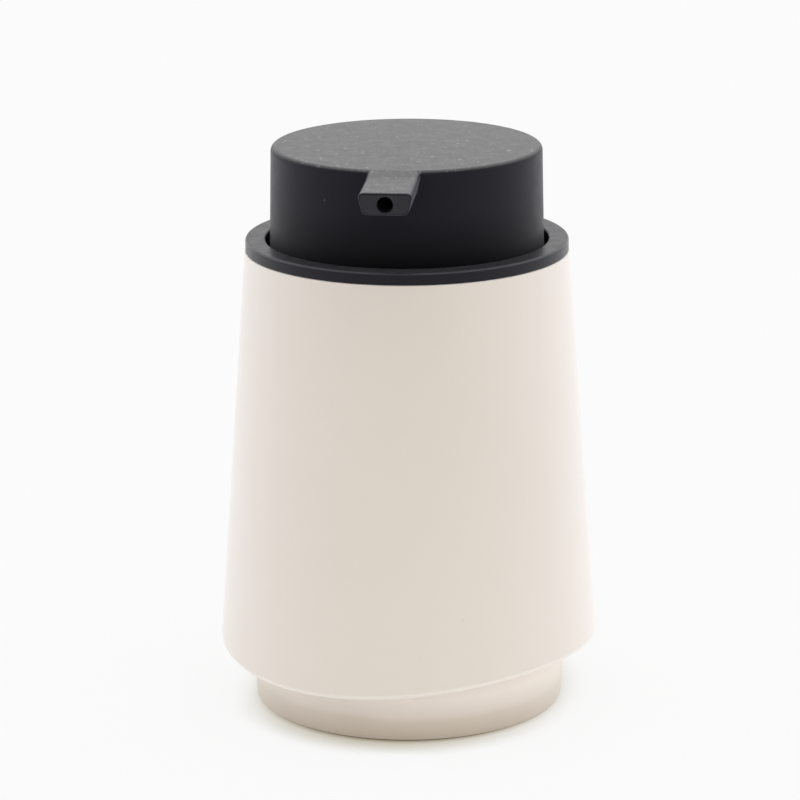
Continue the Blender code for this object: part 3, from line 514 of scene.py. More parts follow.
def lay_down(obj):
    """Turns a piece built round Z to lie along the spout's bore, with its +Z towards the tip."""
    obj.rotation_euler.x = math.pi / 2
    obj.location.z = SPOUT_AXIS * MM
    return obj


def box_mesh(x, y, z):
    signs = (-1, 1)
    corners = [(a * x / 2, b * y / 2, c * z / 2) for a in signs for b in signs for c in signs]
    faces = [(0, 1, 3, 2), (4, 6, 7, 5), (0, 4, 5, 1), (2, 3, 7, 6), (0, 2, 6, 4), (1, 5, 7, 3)]
    return corners, faces


# Vessel

RIM_TOP, RIM_R, MOUTH_R = 104.25, 36.28, 33.3
SKIRT_R, SKIRT_Z = 43.0, 13.3
CONE_TOP_R, CONE_TOP = 36.3, 104.0
CONE = (SKIRT_R - CONE_TOP_R) / (CONE_TOP - SKIRT_Z)  # what the radius loses per mm of height
CONE_JOINT = 1.5  # the wall's last level lies this far above the skirt's edge
SKIRT_EDGE_R, SKIRT_IN_R = 1.0, 38.0
WAVE = 1.9  # the skirt's edge rises and falls this much
WAVE_CREST = math.radians(58.5)  # from the front to where it is highest
WAVE_REACH = (-0.3, 2.9)  # heights round the skirt's edge that go with it
FOOT_LINE, WALL_LINE = 35.6, 36.2  # the foot lies inside the first, the wall outside the second
FOOT_R, FOOT_BASE_R, FOOT_BASE = 35.0, 33.3, 0.2
RECESS = 1.8  # height of the recess that holds the pad
CURVED = 8  # steps of the vessel's arcs
EDGE_BANDS = range(10, 17)  # of the outside, those on the skirt's rounded edge, which get a painted highlight
RIM_BANDS = 4  # the last bands of the inside, which have the wall's glaze
UNDER_BANDS = 4  # bands under the skirt that still have it


def skirt_move(point):
    """Lifts the skirt's lower edge along the cone: two crests and two dips round the foot."""
    x, y, z = point
    r = math.hypot(x, y)
    if r < FOOT_LINE or not WAVE_REACH[0] < z - SKIRT_Z < WAVE_REACH[1]:
        return point
    lift = WAVE * math.cos(2 * (math.atan2(x, -y) - WAVE_CREST))
    scale = 1 - CONE * lift / r if r > WALL_LINE else 1
    return (x * scale, y * scale, z + lift)


def make_vessel():
    rim = [(MOUTH_R, RIM_TOP, 0.2), (RIM_R, RIM_TOP, 0.25)]
    arc = CURVED + 1  # points of one arc
    # Both lists have the rim's two corners, and each drops the arc that the other one keeps
    outer = rounded(
        [
            *rim, (SKIRT_R - CONE * CONE_JOINT, SKIRT_Z + CONE_JOINT),
            (SKIRT_R, SKIRT_Z, SKIRT_EDGE_R), (SKIRT_IN_R, SKIRT_Z),
        ],
        CURVED,
    )[arc:]
    under = rounded(
        [
            (SKIRT_IN_R, SKIRT_Z), (35.9, SKIRT_Z + 1.6, 0.3),
            (FOOT_R, FOOT_BASE, 0.3), (FOOT_BASE_R, FOOT_BASE),
        ],
        CURVED,
    )
    foot = rounded(
        [
            (FOOT_R, FOOT_BASE), (FOOT_BASE_R, FOOT_BASE, 0.15),
            (FOOT_BASE_R, RECESS, 0.15), (0, RECESS),
        ],
        4,
    )[1:]
    inner = rounded(
        [
            (0, 6.5), (31.7, 6.5, 2.0), (31.7, 17.1, 3.0), (38.4, 24.1, 4.0), (34.64, 75.0, 6.0),
            (MOUTH_R, 80.0, 2.0), *rim,
        ],
        CURVED,
    )[:-arc]

    def skin(index):
        if index < len(inner) - RIM_BANDS:
            return CREAM_INSIDE
        # The skirt's rounded edge gets a paler cream as a painted highlight, and the foot a darker
        # cream as painted shade
        if index - len(inner) in EDGE_BANDS:
            return CREAM_EDGE_HIGHLIGHT
        return CREAM if index < len(inner) + len(outer) + UNDER_BANDS else CREAM_FOOT_SHADED

    outline = inner + outer[:-1] + under[:-1] + foot
    skins = [CREAM, CREAM_INSIDE, CREAM_FOOT_SHADED, CREAM_EDGE_HIGHLIGHT]
    body = lathe("vessel_body", outline, WIDE, skins, skin, skirt_move)
    put(body, "vessel", "stoneware", "body_shell")
    turned(
        "foot_pad",
        [
            (0, 1.5), (33.0, 1.5, 0.15), (33.0, 0, 0.3),
            (31.2, 0), (31.0, 0.12), (30.6, 0.12), (30.4, 0),  # a fine groove
            (0, 0),
        ],
        PAD, "vessel", "pad_rubber", "base_pad", segments=BROAD,
    )


# Collar

RING_R, RING_TOP, RING_FOOT = 36.15, 107.0, 104.3
WELL_R, WELL_FLOOR, WELL_UNDER = 31.67, 87.8, 86.3
SLEEVE_R, SLEEVE_FOOT = 32.87, 81.0
PORT_R = 7.9  # hole for the pump
EDGE_HIGHLIGHT_BANDS = range(1, 5)  # of the ring's outer top edge, where a lighter black is a painted highlight
OUT_OF_SIGHT = 104.0  # below this the outside of the collar is hidden in the vessel
SEAL_LIPS = ((84.15, 86.0), (82.3, 84.15))  # lower and upper height of each lip


def make_collar():
    outline = rounded(
        [
            (RING_R, RING_TOP, 0.5), (RING_R, RING_FOOT, 0.25), (SLEEVE_R, RING_FOOT),
            (SLEEVE_R, WELL_UNDER, 0.5), (31.0, WELL_UNDER),  # the groove that holds the seal
            (31.0, 82.0), (32.4, 82.0, 0.15), (32.4, SLEEVE_FOOT, 0.3), (29.8, SLEEVE_FOOT, 0.2),
            (29.8, WELL_UNDER, 0.5), (PORT_R, WELL_UNDER, 0.15), (PORT_R, WELL_FLOOR, 0.15),
            (WELL_R, WELL_FLOOR, 0.6), (WELL_R, RING_TOP, 0.4),
        ]
    )
    hidden = [index for index, point in enumerate(outline) if point[1] < OUT_OF_SIGHT]
    bare = range(hidden[0] - 2, hidden[0] + len(hidden))

    def skin(index):
        if index == len(outline) - 1:
            return BLACK_RING_TOP
        # The outer top edge's lighter black is a painted highlight
        if index in EDGE_HIGHLIGHT_BANDS:
            return BLACK_EDGE
        return BLACK_BARE if index in bare else BLACK_RING

    skins = [BLACK_RING, BLACK_BARE, BLACK_EDGE, BLACK_RING_TOP]
    put(lathe("collar", outline, WIDE, skins, skin), "pump", "collar_black", "collar_ring")
    seal = []
    for low, high in SEAL_LIPS:
        mid = (low + high) / 2
        seal += [(32.3, high), (33.0, mid + 0.25, 0.12), (33.0, mid - 0.25, 0.12)]
    seal += [(32.3, 82.3), (31.3, 82.3, 0.1), (31.3, 86.0, 0.1)]
    turned("sleeve_seal", seal, SILICONE, "pump", "silicone", "collar_seal", segments=BROAD)


# Button and its spout

TOP, FOOT = 128.0, 122.5  # of the spout before its top sinks
TOP_R, WALL_FOOT_R = 30.2, 30.7
BUTTON_FOOT = 102.4
BUTTON_FILLET = 1.25
TIP, TIP_EDGE = 49.3, 0.5
DROP = 0.65  # the spout's own top lies this far below the button's
RAMP_START, RAMP = 28.3, 7.0
HALF_TOP, HALF_FOOT = 6.0, 4.8
R_TOP, R_FOOT = 1.15, 1.25
BLEND = 0.55  # plan radius where the spout's sides meet the button
SIDE_STEPS, BLEND_STEPS, ROUND_STEPS = 14, 8, 216
INSETS = (0.0, 0.03, 0.08, 0.17, 0.29, 0.4, 0.5, 1.2, 2.4, 3.4)  # of the tip's points from its side
INSET_HALF = 4.6  # half-width of the tip for which the insets are written
EDGE_LEVELS = (1.7, 1.36)  # heights over which the levels crowd at the top and at the foot
EDGE_STEP = 9  # degrees between two of those levels on the edge's arc
BETWEEN = 4  # steps from the top's last level to the foot's first
WALL_LEVELS = (119.0, 115.0, 111.0, 107.0)
FOOT_ARC_TOP, FOOT_ARC_R = 102.75, 30.0  # below and outside these the wall's foot is still seen
TIP_FLAT = 0.02  # a face this near to the tip's end belongs to its flat
FACING_TOP = 0.5  # a face whose normal points up more than this is part of the top
SHELL_FOOT_R, SHELL_TOP_R, CEILING = 28.9, 28.44, 125.8  # inside of the button
SOCKET_R, SOCKET_TOP = 6.8, 127.0  # recess for the hub's head
SPOUT_AXIS = 124.8  # height of the bore
BORE = (  # radius and distance from the axis, from before the tip inwards
    (0, 52.0), (1.95, 52.0), (1.95, 49.42), (1.78, 49.28), (1.69, 49.17), (1.65, 49.02),
    (1.65, 6.0), (0, 6.0),
)
SPOUT_TOP = TOP - DROP
SIDE_OUT = Vector((SPOUT_TOP - FOOT, HALF_FOOT - HALF_TOP)).normalized()


def wall_radius(z):
    r = TOP_R + (WALL_FOOT_R - TOP_R) * (TOP - z) / (TOP - BUTTON_FOOT)
    into = z - (TOP - BUTTON_FILLET)
    if into > 0:
        r -= BUTTON_FILLET - math.sqrt(max(BUTTON_FILLET**2 - into**2, 0))
    return r


def settled(z):
    """A level of the loft at its final height in the spout, which is lower than the button."""
    return FOOT + (z - FOOT) * (TOP - DROP - FOOT) / (TOP - FOOT)


def side_half(z):
    """Half-width of the spout's section at a height, were its corners sharp."""
    return HALF_TOP + (HALF_FOOT - HALF_TOP) * (SPOUT_TOP - z) / (SPOUT_TOP - FOOT)


def arc_centre(z, r):
    """Centre of a corner arc of the spout's section, tangent to its tapered side."""
    return Vector((side_half(z) - r / SIDE_OUT[0], z))


TOP_ARC = arc_centre(SPOUT_TOP - R_TOP, R_TOP)
FOOT_ARC = arc_centre(FOOT + R_FOOT, R_FOOT)


def section_half(z):
    """Half-width of the spout's section at a height."""
    if z > TOP_ARC[1] + SIDE_OUT[1] * R_TOP:
        return TOP_ARC[0] + math.sqrt(max(R_TOP**2 - (z - TOP_ARC[1]) ** 2, 0))
    if z < FOOT_ARC[1] + SIDE_OUT[1] * R_FOOT:
        return FOOT_ARC[0] + math.sqrt(max(R_FOOT**2 - (z - FOOT_ARC[1]) ** 2, 0))
    return side_half(z)


def section_depth(x, z):
    """How far a point of the spout's section lies inside the section's outline."""
    spot = Vector((abs(x), z))
    depths = [SPOUT_TOP - z, z - FOOT, (Vector((HALF_TOP, SPOUT_TOP)) - spot).dot(SIDE_OUT)]
    along_side = Vector((-SIDE_OUT[1], SIDE_OUT[0]))
    for centre, r, sign in ((TOP_ARC, R_TOP, 1), (FOOT_ARC, R_FOOT, -1)):
        off = spot - centre
        if off[0] > 0 and off.dot(along_side) * sign > 0:
            depths.append(r - off.length)
    return max(min(depths), 0.0)


def tip_y(x, z):
    """The tip's face, with its rounded edge."""
    depth = section_depth(x, z)
    if depth >= TIP_EDGE:
        return -TIP
    return -(TIP - TIP_EDGE + math.sqrt(max(TIP_EDGE**2 - (TIP_EDGE - depth) ** 2, 0)))


def plan(z):
    """The right of the spout at one level, seen from above, as (x, y, share of the drop).

    Also gives the angle at which it meets the button, and the button's radius.
    """
    r, low = wall_radius(z), settled(z)
    w = section_half(low)
    centre = Vector((w + BLEND, -math.sqrt((r + BLEND) ** 2 - (w + BLEND) ** 2)))
    contact = math.atan2(centre[1], centre[0])
    right = []
    for inset in reversed(INSETS):
        x = w - inset * w / INSET_HALF
        right.append((x, tip_y(x, low), 1.0))
    start_y = right[-1][1]
    for step in range(1, SIDE_STEPS + 1):
        right.append((w, start_y + (centre[1] - start_y) * step / SIDE_STEPS, 1.0))
    for step in range(1, BLEND_STEPS + 1):
        angle = math.pi + contact * step / BLEND_STEPS
        spot = centre + Vector((math.cos(angle), math.sin(angle))) * BLEND
        right.append((spot[0], spot[1], 1 - step / BLEND_STEPS))
    return right, contact, r


def whole_loop(right, contact, r):
    """One level all round: the right of the spout, the button's circle and the spout's left."""
    arc = []
    sweep = math.pi - 2 * contact
    for step in range(1, ROUND_STEPS):
        angle = contact + sweep * step / ROUND_STEPS
        arc.append((r * math.cos(angle), r * math.sin(angle), 0.0))
    return right + arc + [(-x, y, share) for x, y, share in reversed(right)]


def circle_level(r, contact, count):
    """A plain circle with as many points in the spout's sector as the spout's outline has."""
    half = contact + math.pi / 2
    right = []
    for k in range(1, count + 1):
        angle = -math.pi / 2 + half * k / count
        right.append((r * math.cos(angle), r * math.sin(angle), 0.0))
    return whole_loop(right, contact, r)


def lowered(x, y, z, share):
    """A point of the loft after the spout's top has sunk on its S-shaped ramp."""
    t = min(max((-y - RAMP_START) / RAMP, 0), 1)
    fall = DROP * t * t * (3 - 2 * t) * share
    return (x, y, z - fall * max(z - FOOT, 0) / (TOP - FOOT))


def level_heights():
    """Close levels through the top edge and the spout's lower edge, and a few between."""
    crowd = [1 - math.cos(math.radians(a)) for a in range(0, 91, EDGE_STEP)]
    top = [TOP - EDGE_LEVELS[0] * c for c in crowd]
    foot = [FOOT + EDGE_LEVELS[1] * c for c in reversed(crowd)]
    middle = [top[-1] + (foot[0] - top[-1]) * k / BETWEEN for k in range(1, BETWEEN)]
    return top + middle + foot


def make_button():
    loops, vertices, faces, slots = [], [], [], []
    skins = [BLACK, BLACK_BARE, BLACK_TIP, BLACK_TOP]

    def add_loop(points, z):
        loops.append(list(range(len(vertices), len(vertices) + len(points))))
        vertices.extend(lowered(x, y, z, share) for x, y, share in points)

    def add_faces(new, skin):
        faces.extend(new)
        slots.extend([skins.index(skin)] * len(new))

    for z in level_heights():
        right, contact, r = plan(z)
        add_loop(whole_loop(right, contact, r), z)
    count, lofted = len(right), len(loops)
    # Below the spout the shell is turned: down the wall, round its foot and up the inside
    walls = [(wall_radius(z), z, BLACK) for z in (FOOT, *WALL_LEVELS)]
    shell = rounded(
        [
            (TOP_R, TOP), (WALL_FOOT_R, BUTTON_FOOT, 0.3), (SHELL_FOOT_R, BUTTON_FOOT, 0.2),
            (SHELL_TOP_R, CEILING, 0.8), (SOCKET_R, CEILING),
        ],
        5,
    )
    for r, z in shell[1:-1]:
        outside = z < FOOT_ARC_TOP and r > FOOT_ARC_R
        walls.append((r, z, BLACK if outside else BLACK_BARE))
    walls += [(SOCKET_R, CEILING, BLACK_BARE), (SOCKET_R, SOCKET_TOP, BLACK_BARE)]
    for r, z, skin in walls:
        add_loop(circle_level(r, contact, count), z)
    for index in range(len(loops) - 1):
        skin = BLACK if index < lofted else walls[index - lofted][2]
        add_faces(band(loops[index], loops[index + 1]), skin)
    # The top, in strips from side to side. One face takes the tip's points, which are in line
    top, row = loops[0], len(INSETS)
    strips = [(top[k], top[k + 1], top[-2 - k], top[-1 - k]) for k in range(row, count - 1)]
    add_faces([(*top[: row + 1], *top[-1 - row :]), *strips], BLACK)
    add_faces([tuple(reversed(top[count - 1 : len(top) - count + 1]))], BLACK)
    add_faces([tuple(loops[-1])], BLACK_BARE)
    button = new_object("button", vertices, faces, skins, slots)
    for face in button.data.polygons:
        high = face.normal[2] > FACING_TOP and face.center[2] > FOOT * MM
        if face.center[1] < -(TIP - TIP_FLAT) * MM:
            face.material_index = skins.index(BLACK_TIP)
        elif high and skins[face.material_index] == BLACK:
            face.material_index = skins.index(BLACK_TOP)
    cutter = lay_down(lathe("bore_cutter", rounded(BORE), SMALL, [BLACK_BARE]))
    combine(button, cutter, "DIFFERENCE")
    smooth(button, angle=40)
    put(button, "head", "button_black", "button_shell")


# Pump


def make_cylinder():
    turned(
        "flange_gasket",
        [(11.2, 89.1, 0.15), (11.2, 88.1, 0.15), (7.9, 88.1, 0.1), (7.9, 89.1, 0.1)],
        FOAM, "pump", "gasket_foam", "housing_gasket",
    )
    turned(
        "pump_cylinder",
        [
            (11.2, 90.9, 0.2), (11.2, 89.4, 0.2), (7.6, 89.4, 0.1),  # flange
            (7.6, 79.0), (7.45, 78.8), (7.45, 78.2), (7.6, 78.0),  # a fine groove
            (7.6, 46.0), (7.5, 45.8), (7.5, 45.4), (7.6, 45.2),  # and another
            (7.6, 43.61, 0.5), (4.0, 38.61, 0.8), (4.0, 28.6),  # the cone over the tube's socket
            (3.85, 27.91, 0.2), (2.8, 27.91, 0.15),
            (2.8, 39.21, 0.1), (1.5, 39.21), (1.5, 40.41), (3.4, 43.61, 0.1),  # the ball's seat
            (6.4, 43.61, 0.2), (6.4, 90.9, 0.2),  # up the bore
        ],
        MILKY, "pump", "milky_plastic", "pump_housing", segments=MEDIUM,
    )
    turned(
        "guide_bush",
        [
            (11.0, 92.4, 0.3), (11.0, 91.2, 0.2), (6.1, 91.2, 0.1), (6.1, 84.0, 0.3),
            (4.3, 84.0, 0.2), (4.3, 92.4, 0.3),
        ],
        MILKY, "pump", "milky_plastic", "stem_guide",
    )


def make_plunger():
    turned(
        "stem_rod",
        [
            (4.0, 118.7, 0.25), (4.0, 84.0, 0.1), (3.2, 84.0, 0.1), (3.2, 74.8, 0.2),
            (1.6, 74.8, 0.15), (1.6, 111.3, 0.1), (2.7, 112.5, 0.1), (2.7, 118.7, 0.15),
        ],
        MILKY, "plunger", "milky_plastic", "stem",
    )
    turned(
        "piston_lips",
        [
            (6.2, 83.7, 0.12), (5.3, 82.3, 0.4), (5.3, 78.1, 0.4), (6.2, 76.7, 0.12),
            (3.5, 76.7, 0.15), (3.5, 83.7, 0.15),
        ],
        MILKY, "plunger", "milky_plastic", "piston",
    )
    turned(
        "piston_cap",
        [
            (5.0, 76.4, 0.2), (5.0, 73.9, 0.3), (1.9, 73.9, 0.15), (1.9, 74.5, 0.1),
            (3.5, 74.5, 0.1), (3.5, 76.4, 0.15),
        ],
        MILKY, "plunger", "milky_plastic", "piston_retainer",
    )


NUT_R, NUT_FACETS = 12.1, 240
GRIPS, GRIP_R = 10, 1.2  # notches round the nut, and their radius
GRIP_FROM = 10.0  # radius from which a point has part in them


def make_lock_ring():
    """The clamp nut, with rounded notches to grip it."""
    vertices, rings = [], []
    corners = [(NUT_R, 86.0, 0.4), (NUT_R, 80.0, 0.5), (7.9, 80.0, 0.2), (7.9, 86.0, 0.2)]
    for r, z in rounded(corners, 4):
        rings.append(list(range(len(vertices), len(vertices) + NUT_FACETS)))
        for k in range(NUT_FACETS):
            angle = math.tau * k / NUT_FACETS
            phase = (angle * GRIPS / math.tau + 0.5) % 1 - 0.5
            arc = phase * math.tau / GRIPS * NUT_R
            dent = math.sqrt(max(GRIP_R**2 - arc**2, 0)) if abs(arc) < GRIP_R else 0
            reach = r - dent if r > GRIP_FROM else r
            vertices.append((reach * math.cos(angle), reach * math.sin(angle), z))
    faces = []
    for index in range(len(rings)):
        faces += band(rings[index], rings[(index + 1) % len(rings)])
    nut = smooth(new_object("clamp_nut", vertices, faces, [MILKY]), angle=45)
    put(nut, "pump", "milky_plastic", "lock_ring")


TUBE_R, TUBE_BORE, TUBE_FOOT = 2.5, 1.8, 11.5
TUBE_SLOPE = math.tan(math.radians(20))
TUBE_CUT = 12.2  # points of the outline below this height go with the slope


def make_dip_tube():
    """The suction tube, its foot cut on a slope."""

    def slant(point):
        x, y, z = point
        return (x, y, TUBE_FOOT + TUBE_SLOPE * (TUBE_R + y)) if z < TUBE_CUT else point

    outline = rounded(
        [
            (TUBE_R, 38.91, 0.1), (TUBE_R, 20.0), (TUBE_R, TUBE_FOOT),
            (TUBE_BORE, TUBE_FOOT), (TUBE_BORE, 20.0), (TUBE_BORE, 38.91, 0.1),
        ],
        3,
    )
    tube = lathe("suction_tube", outline, SLIM, [TUBE], move=slant)
    put(tube, "pump", "tube_plastic", "dip_tube")


COILS, FLAT_COILS = 8, 0.75  # turns in all, and of those the flat ones at each end
COIL_R, WIRE_R = 4.5, 0.5
SPRING_FOOT, SPRING_TOP = 47.6, 73.6
END_RISE = 1.6  # what a flat end climbs
COIL_STEPS, WIRE_SIDES = 36, 12


def make_spring():
    """Drawn wire whose end turns lie flat and are ground off."""
    rising = COILS - 2 * FLAT_COILS
    climb = SPRING_TOP - SPRING_FOOT - 2 * WIRE_R - 2 * END_RISE
    points = []
    for k in range(COILS * COIL_STEPS + 1):
        turns = k / COIL_STEPS
        low = min(turns, FLAT_COILS) / FLAT_COILS
        high = max(turns - FLAT_COILS - rising, 0) / FLAT_COILS
        middle = min(max(turns - FLAT_COILS, 0), rising) / rising
        z = SPRING_FOOT + WIRE_R + END_RISE * (low + high) + climb * middle
        angle = math.tau * turns
        points.append(Vector((COIL_R * math.cos(angle), COIL_R * math.sin(angle), z)))
    vertices, faces, sides = [], [], WIRE_SIDES
    for k, point in enumerate(points):
        ahead = (points[min(k + 1, len(points) - 1)] - points[max(k - 1, 0)]).normalized()
        out = Vector((point[0], point[1], 0)).normalized()
        up = out.cross(ahead).normalized()
        out = ahead.cross(up)
        for s in range(sides):
            a = math.tau * s / sides
            x, y, z = point + (out * math.cos(a) + up * math.sin(a)) * WIRE_R
            vertices.append((x, y, min(max(z, SPRING_FOOT), SPRING_TOP)))
    for k in range(len(points) - 1):
        a, b = k * sides, (k + 1) * sides
        for s in range(sides):
            t = (s + 1) % sides
            faces.append((a + s, a + t, b + t, b + s))
    faces.append(tuple(range(sides)))
    faces.append(tuple(reversed(range((len(points) - 1) * sides, len(points) * sides))))
    spring = smooth(new_object("coil_spring", vertices, faces, [WIRE]), angle=50)
    put(spring, "pump", "spring_steel", "return_spring")
    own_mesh(spring)


PLATE_HOLES, PLATE_HOLE_R, PLATE_HOLES_AT = 4, 1.0, 3.2
HOLE_TURN = math.radians(2.5)  # keeps a hole's corners off the plate's own edges
CAGE_FOOT = 116.66
CAGE_SLOTS = 3
BALL_STEPS = 32  # from pole to pole


def make_cages():
    plate = lathe(
        "valve_plate",
        rounded(
            [
                (0, 47.3), (6.1, 47.3, 0.2), (6.1, 43.91, 0.15), (4.7, 43.91, 0.15),
                (4.7, 45.8, 0.3), (0, 45.8),
            ],
            4,
        ),
        NARROW,
        [MILKY],
    )
    for k in range(PLATE_HOLES):
        angle = math.tau * k / PLATE_HOLES
        hole = rounded([(0, 48.0), (PLATE_HOLE_R, 48.0), (PLATE_HOLE_R, 45.0), (0, 45.0)])
        cutter = lathe("drill", hole, DRILLED, [MILKY])
        cutter.location = around(PLATE_HOLES_AT, angle)
        cutter.rotation_euler.z = HOLE_TURN
        combine(plate, cutter, "DIFFERENCE")
    put(plate, "pump", "milky_plastic", "valve_cage")
    cage = lathe(
        "ball_stop",
        rounded(
            [
                (2.4, 118.7, 0.15), (2.4, CAGE_FOOT, 0.1),
                (1.2, CAGE_FOOT, 0.1), (1.2, 118.7, 0.15),
            ],
            4,
        ),
        SMALL,
        [MILKY],
    )
    for k in range(CAGE_SLOTS):
        bar = new_object("slot_cutter", *box_mesh(9.0, 1.1, 1.8), [MILKY])
        bar.rotation_euler.z = math.pi * k / CAGE_SLOTS
        bar.location.z = CAGE_FOOT * MM
        combine(cage, bar, "DIFFERENCE")
    put(cage, "plunger", "milky_plastic", "outlet_cage")


def make_balls():
    for name, r, z, body, node in (
        ("foot_valve_ball", 2.0, 42.0, "inlet_valve", "inlet_ball"),
        ("head_valve_ball", 2.2, 112.958, "outlet_valve", "outlet_ball"),
    ):
        angles = [math.pi * k / BALL_STEPS for k in range(1, BALL_STEPS)]
        arc = [(r * math.sin(a), z + r * math.cos(a)) for a in angles]
        turned(name, [(0, z + r), *arc, (0, z - r)], BALL, body, "ball_steel", node, segments=SMALL)


DISC_R, DISC_TOP, DISC_UNDER = 28.1, 122.2, 120.7
HUB_R, HUB_TOP = 6.5, 126.7
STEM_SEAT, STEM_BORE = 4.3, 1.6  # radii inside the hub's socket
RIBS, RIB_THICK, RIB_TALL, RIB_AT = 6, 1.2, 5.6, 118.5
RIB_SUNK = RIB_THICK  # how far a rib reaches into the hub
RIB_BEVEL, RIB_BEVEL_STEPS = 0.25, 3


def make_hub():
    """The carrier under the button: disc, ribs and the stem's socket."""
    hub = lathe(
        "button_carrier",
        rounded(
            [
                (0, HUB_TOP), (HUB_R, HUB_TOP, 0.3), (HUB_R, DISC_TOP, 0.3),
                (DISC_R, DISC_TOP, 0.3), (DISC_R, DISC_UNDER, 0.3), (HUB_R, DISC_UNDER, 0.8),
                (HUB_R, 107.0, 0.4), (STEM_SEAT, 107.0, 0.3), (STEM_SEAT, 110.0),
                (5.7, 110.0, 0.1), (5.7, 111.6, 0.1), (STEM_SEAT, 111.6),  # the O-ring's groove
                (STEM_SEAT, 119.0, 0.2), (STEM_BORE, 119.0, 0.1), (STEM_BORE, 125.9, 0.2),
                (0, 125.9),
            ],
            4,
        ),
        MEDIUM,
        [HUB],
    )
    length = DISC_R - HUB_R
    middle = HUB_R - RIB_SUNK + length / 2
    for k in range(RIBS):
        angle = math.tau * k / RIBS
        rib = new_object("rib", *box_mesh(length, RIB_THICK, RIB_TALL), [HUB])
        bevel = rib.modifiers.new("bevel", "BEVEL")
        bevel.width = RIB_BEVEL * MM
        bevel.segments = RIB_BEVEL_STEPS
        rib.rotation_euler.z = angle
        rib.location = around(middle, angle, RIB_AT)
        combine(hub, rib, "UNION")
    port = lathe("port", rounded([(0, 9.0), (1.55, 9.0), (1.55, 0.2), (0, 0.2)]), DRILLED, [HUB])
    combine(hub, lay_down(port), "DIFFERENCE")
    hub.data.set_sharp_from_angle(angle=math.radians(SHARP))
    put(hub, "head", "hub_plastic", "actuator_hub")


def make_outlet():
    """The O-ring round the stem, and the small tube from the hub to the spout's tip."""
    turned(
        "stem_o_ring",
        [(4.45, 111.35, 0.54), (5.55, 111.35, 0.54), (5.55, 110.25, 0.54), (4.45, 110.25, 0.54)],
        NITRILE, "head", "nitrile", "stem_seal", steps=6,
    )
    liner = lathe(
        "delivery_tube",
        rounded([(1.25, 46.3, 0.08), (1.25, 2.4, 0.08), (0.9, 2.4, 0.08), (0.9, 46.3, 0.08)], 3),
        SMALL,
        [LINER],
    )
    put(lay_down(liner), "head", "hub_plastic", "spout_liner")


# Stage

FLOOR_R = 3000.0  # mm
FLOOR_END = (0.42, 0.20)  # metres before the object, between which the table's light falls off
FLOOR_LIT = (0.45, 0.95)  # its brightness there
FLOOR_SEEN, FLOOR_GLOW = 0.09, 0.860
SHELTER_REACH, CREASE_REACH = 0.020, 0.0022  # metres of the broad shade and of the dark line
SHADE_LIFT, SHADE_GAIN = (0.02, 0.52), (1.55, 1.00)  # before the foot and beside it
CREASE_OPEN = (0.45, 0.95)  # openness from which the dark line fades, and where it ends
CREASE_DEPTH = (0.37, 0.03)  # before the foot and beside it
SHADE_TONE = {"Red": 1.0, "Green": 1.12, "Blue": 1.45}  # powers that make the shade warm
AO_SAMPLES = 16
WALL, FRONT = 1.10, 0.56  # light of the walls and of the gap in front
GAP = (0.60, 0.98)  # how far forward a direction points at the gap's edge, and where it is whole
ABOVE, ABOVE_SPAN = 0.10, (0.45, 0.95)  # what the ceiling adds
RIGHT, RIGHT_SPAN = 0.14, (-0.6, 0.9)  # what the right side adds
BACKDROP = 0.955


def grey(level):
    return (level, level, level, 1.0)


def is_seen(tree):
    """1 for rays that show the surroundings: from the camera, off gloss and through glass."""
    light = tree.add("ShaderNodeLightPath").outputs
    either = tree.math("MAXIMUM", light["Is Camera Ray"], light["Is Glossy Ray"])
    return tree.math("MAXIMUM", either, light["Is Transmission Ray"])


def finish_tree(tree, lit, seen, output):
    """One shader for the rays that light the object, the other for those that see this."""
    mix = tree.add("ShaderNodeMixShader")
    tree.feed_all(mix, {0: is_seen(tree), 1: lit.outputs[0], 2: seen.outputs[0]})
    tree.feed(tree.add(output).inputs["Surface"], mix.outputs[0])


def openness(tree, reach):
    node = tree.add("ShaderNodeAmbientOcclusion", samples=AO_SAMPLES)
    node.inputs["Distance"].default_value = reach
    return node.outputs["AO"]


def contact_shade(tree, place):
    """How white the table looks: greyer under the skirt, and more before the foot than beside."""
    flat = tree.vector("MULTIPLY", place, (1.0, 1.0, 0.0))
    side = tree.split(tree.vector("NORMALIZE", flat))["X"]
    beside = tree.math("MULTIPLY", side, side)

    def between(before_and_beside):
        before, aside = before_and_beside
        return tree.math("MULTIPLY_ADD", beside, aside - before, before)

    shelter = openness(tree, SHELTER_REACH)
    broad = tree.math("MULTIPLY_ADD", shelter, between(SHADE_GAIN), between(SHADE_LIFT))
    closed = tree.ramp(openness(tree, CREASE_REACH), *CREASE_OPEN, 1.0, 0.0, "SMOOTHSTEP")
    line = tree.math("MULTIPLY", closed, between(CREASE_DEPTH))
    whole = tree.math("MINIMUM", broad, 1.0)
    level = tree.math("MULTIPLY", whole, tree.math("SUBTRACT", 1.0, line))
    tone = tree.add("ShaderNodeCombineColor")
    for channel, power in SHADE_TONE.items():
        tree.feed(tone.inputs[channel], tree.math("POWER", level, power))
    return tone.outputs["Color"]


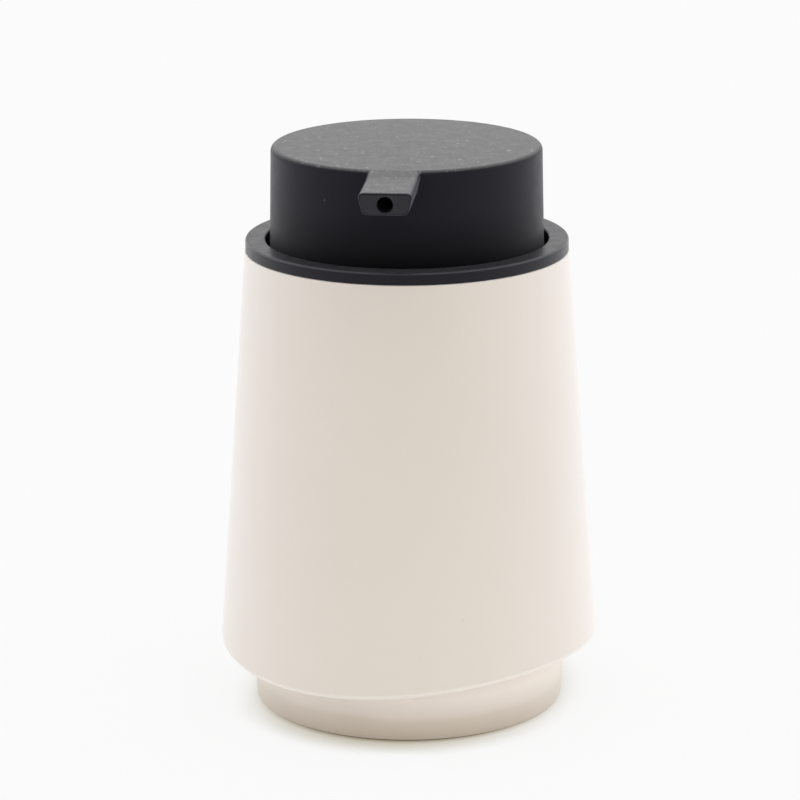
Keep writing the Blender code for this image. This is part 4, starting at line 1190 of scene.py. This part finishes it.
def make_floor():
    """A table that looks white all the way, though its front lights the object less."""
    made = bpy.data.materials.new("studio_white")
    made.use_nodes = True
    made.node_tree.nodes.clear()
    tree = Tree(made.node_tree)
    place = tree.add("ShaderNodeTexCoord").outputs["Object"]
    lit = tree.add("ShaderNodeBsdfDiffuse")
    far, near = FLOOR_END
    tone = tree.ramp(tree.split(place)["Y"], -far, -near, *FLOOR_LIT, "SMOOTHSTEP")
    tree.feed(lit.inputs["Color"], tone)
    white = tree.add("ShaderNodeBsdfDiffuse")
    white.inputs["Color"].default_value = grey(FLOOR_SEEN)
    glow = tree.add("ShaderNodeEmission")
    tree.feed_all(glow, {"Strength": FLOOR_GLOW, "Color": contact_shade(tree, place)})
    seen = tree.add("ShaderNodeAddShader")
    tree.feed_all(seen, {0: white.outputs[0], 1: glow.outputs[0]})
    finish_tree(tree, lit, seen, "ShaderNodeOutputMaterial")
    turns = [math.tau * k / NARROW for k in range(NARROW)]
    edge = [(FLOOR_R * math.cos(turn), FLOOR_R * math.sin(turn), 0.0) for turn in turns]
    floor = new_object("studio_floor", edge, [tuple(range(NARROW))], [made])


def make_world():
    """White walls and ceiling, and a darker gap where the camera stands."""
    SCENE.world = bpy.data.worlds.new("studio")
    SCENE.world.use_nodes = True
    SCENE.world.node_tree.nodes.clear()
    tree = Tree(SCENE.world.node_tree)
    away = tree.split(tree.add("ShaderNodeTexCoord").outputs["Generated"])
    front = tree.math("MULTIPLY", away["Y"], -1)
    walls = tree.ramp(front, *GAP, WALL, FRONT, "SMOOTHSTEP")
    above = tree.ramp(away["Z"], *ABOVE_SPAN, 0.0, ABOVE, "SMOOTHSTEP")
    right = tree.ramp(away["X"], *RIGHT_SPAN, 0.0, RIGHT, "SMOOTHSTEP")
    level = tree.math("ADD", tree.math("ADD", walls, above), right)
    lit = tree.add("ShaderNodeBackground")
    tree.feed_all(lit, {"Color": grey(1.0), "Strength": level})
    seen = tree.add("ShaderNodeBackground")
    seen.inputs["Color"].default_value = grey(BACKDROP)
    finish_tree(tree, lit, seen, "ShaderNodeOutputWorld")
    SCENE.world.cycles.sampling_method = "NONE"


# Camera, as the photo's was found to stand

CAMERA_TURN, CAMERA_ROLL = math.radians(5.5), math.radians(-0.305)
CAMERA_PITCH = math.radians(15.397)
CAMERA_AIM = Vector((-1.75, 0, 68.96)) * MM
CAMERA_DISTANCE = 0.828
LENS, SENSOR = 164.6, 36.0


def make_camera():
    back = Vector((0, -math.cos(CAMERA_PITCH), math.sin(CAMERA_PITCH)))
    place = Matrix.Translation(CAMERA_AIM + back * CAMERA_DISTANCE)
    turn = Matrix.Rotation(CAMERA_TURN, 4, "Z")
    tilt = Matrix.Rotation(math.pi / 2 - CAMERA_PITCH, 4, "X")
    roll = Matrix.Rotation(CAMERA_ROLL, 4, "Z")
    data = bpy.data.cameras.new("photo_view")
    data.sensor_width = SENSOR
    data.lens = LENS
    camera = bpy.data.objects.new("photo_view", data)
    SCENE.collection.objects.link(camera)
    camera.matrix_world = turn @ place @ tilt @ roll
    SCENE.camera = camera


make_vessel()
make_collar()
make_button()
make_cylinder()
make_plunger()
make_lock_ring()
make_dip_tube()
make_spring()
make_cages()
make_balls()
make_hub()
make_outlet()
make_floor()
make_world()
make_camera()

SCENE.view_settings.view_transform = "Standard"
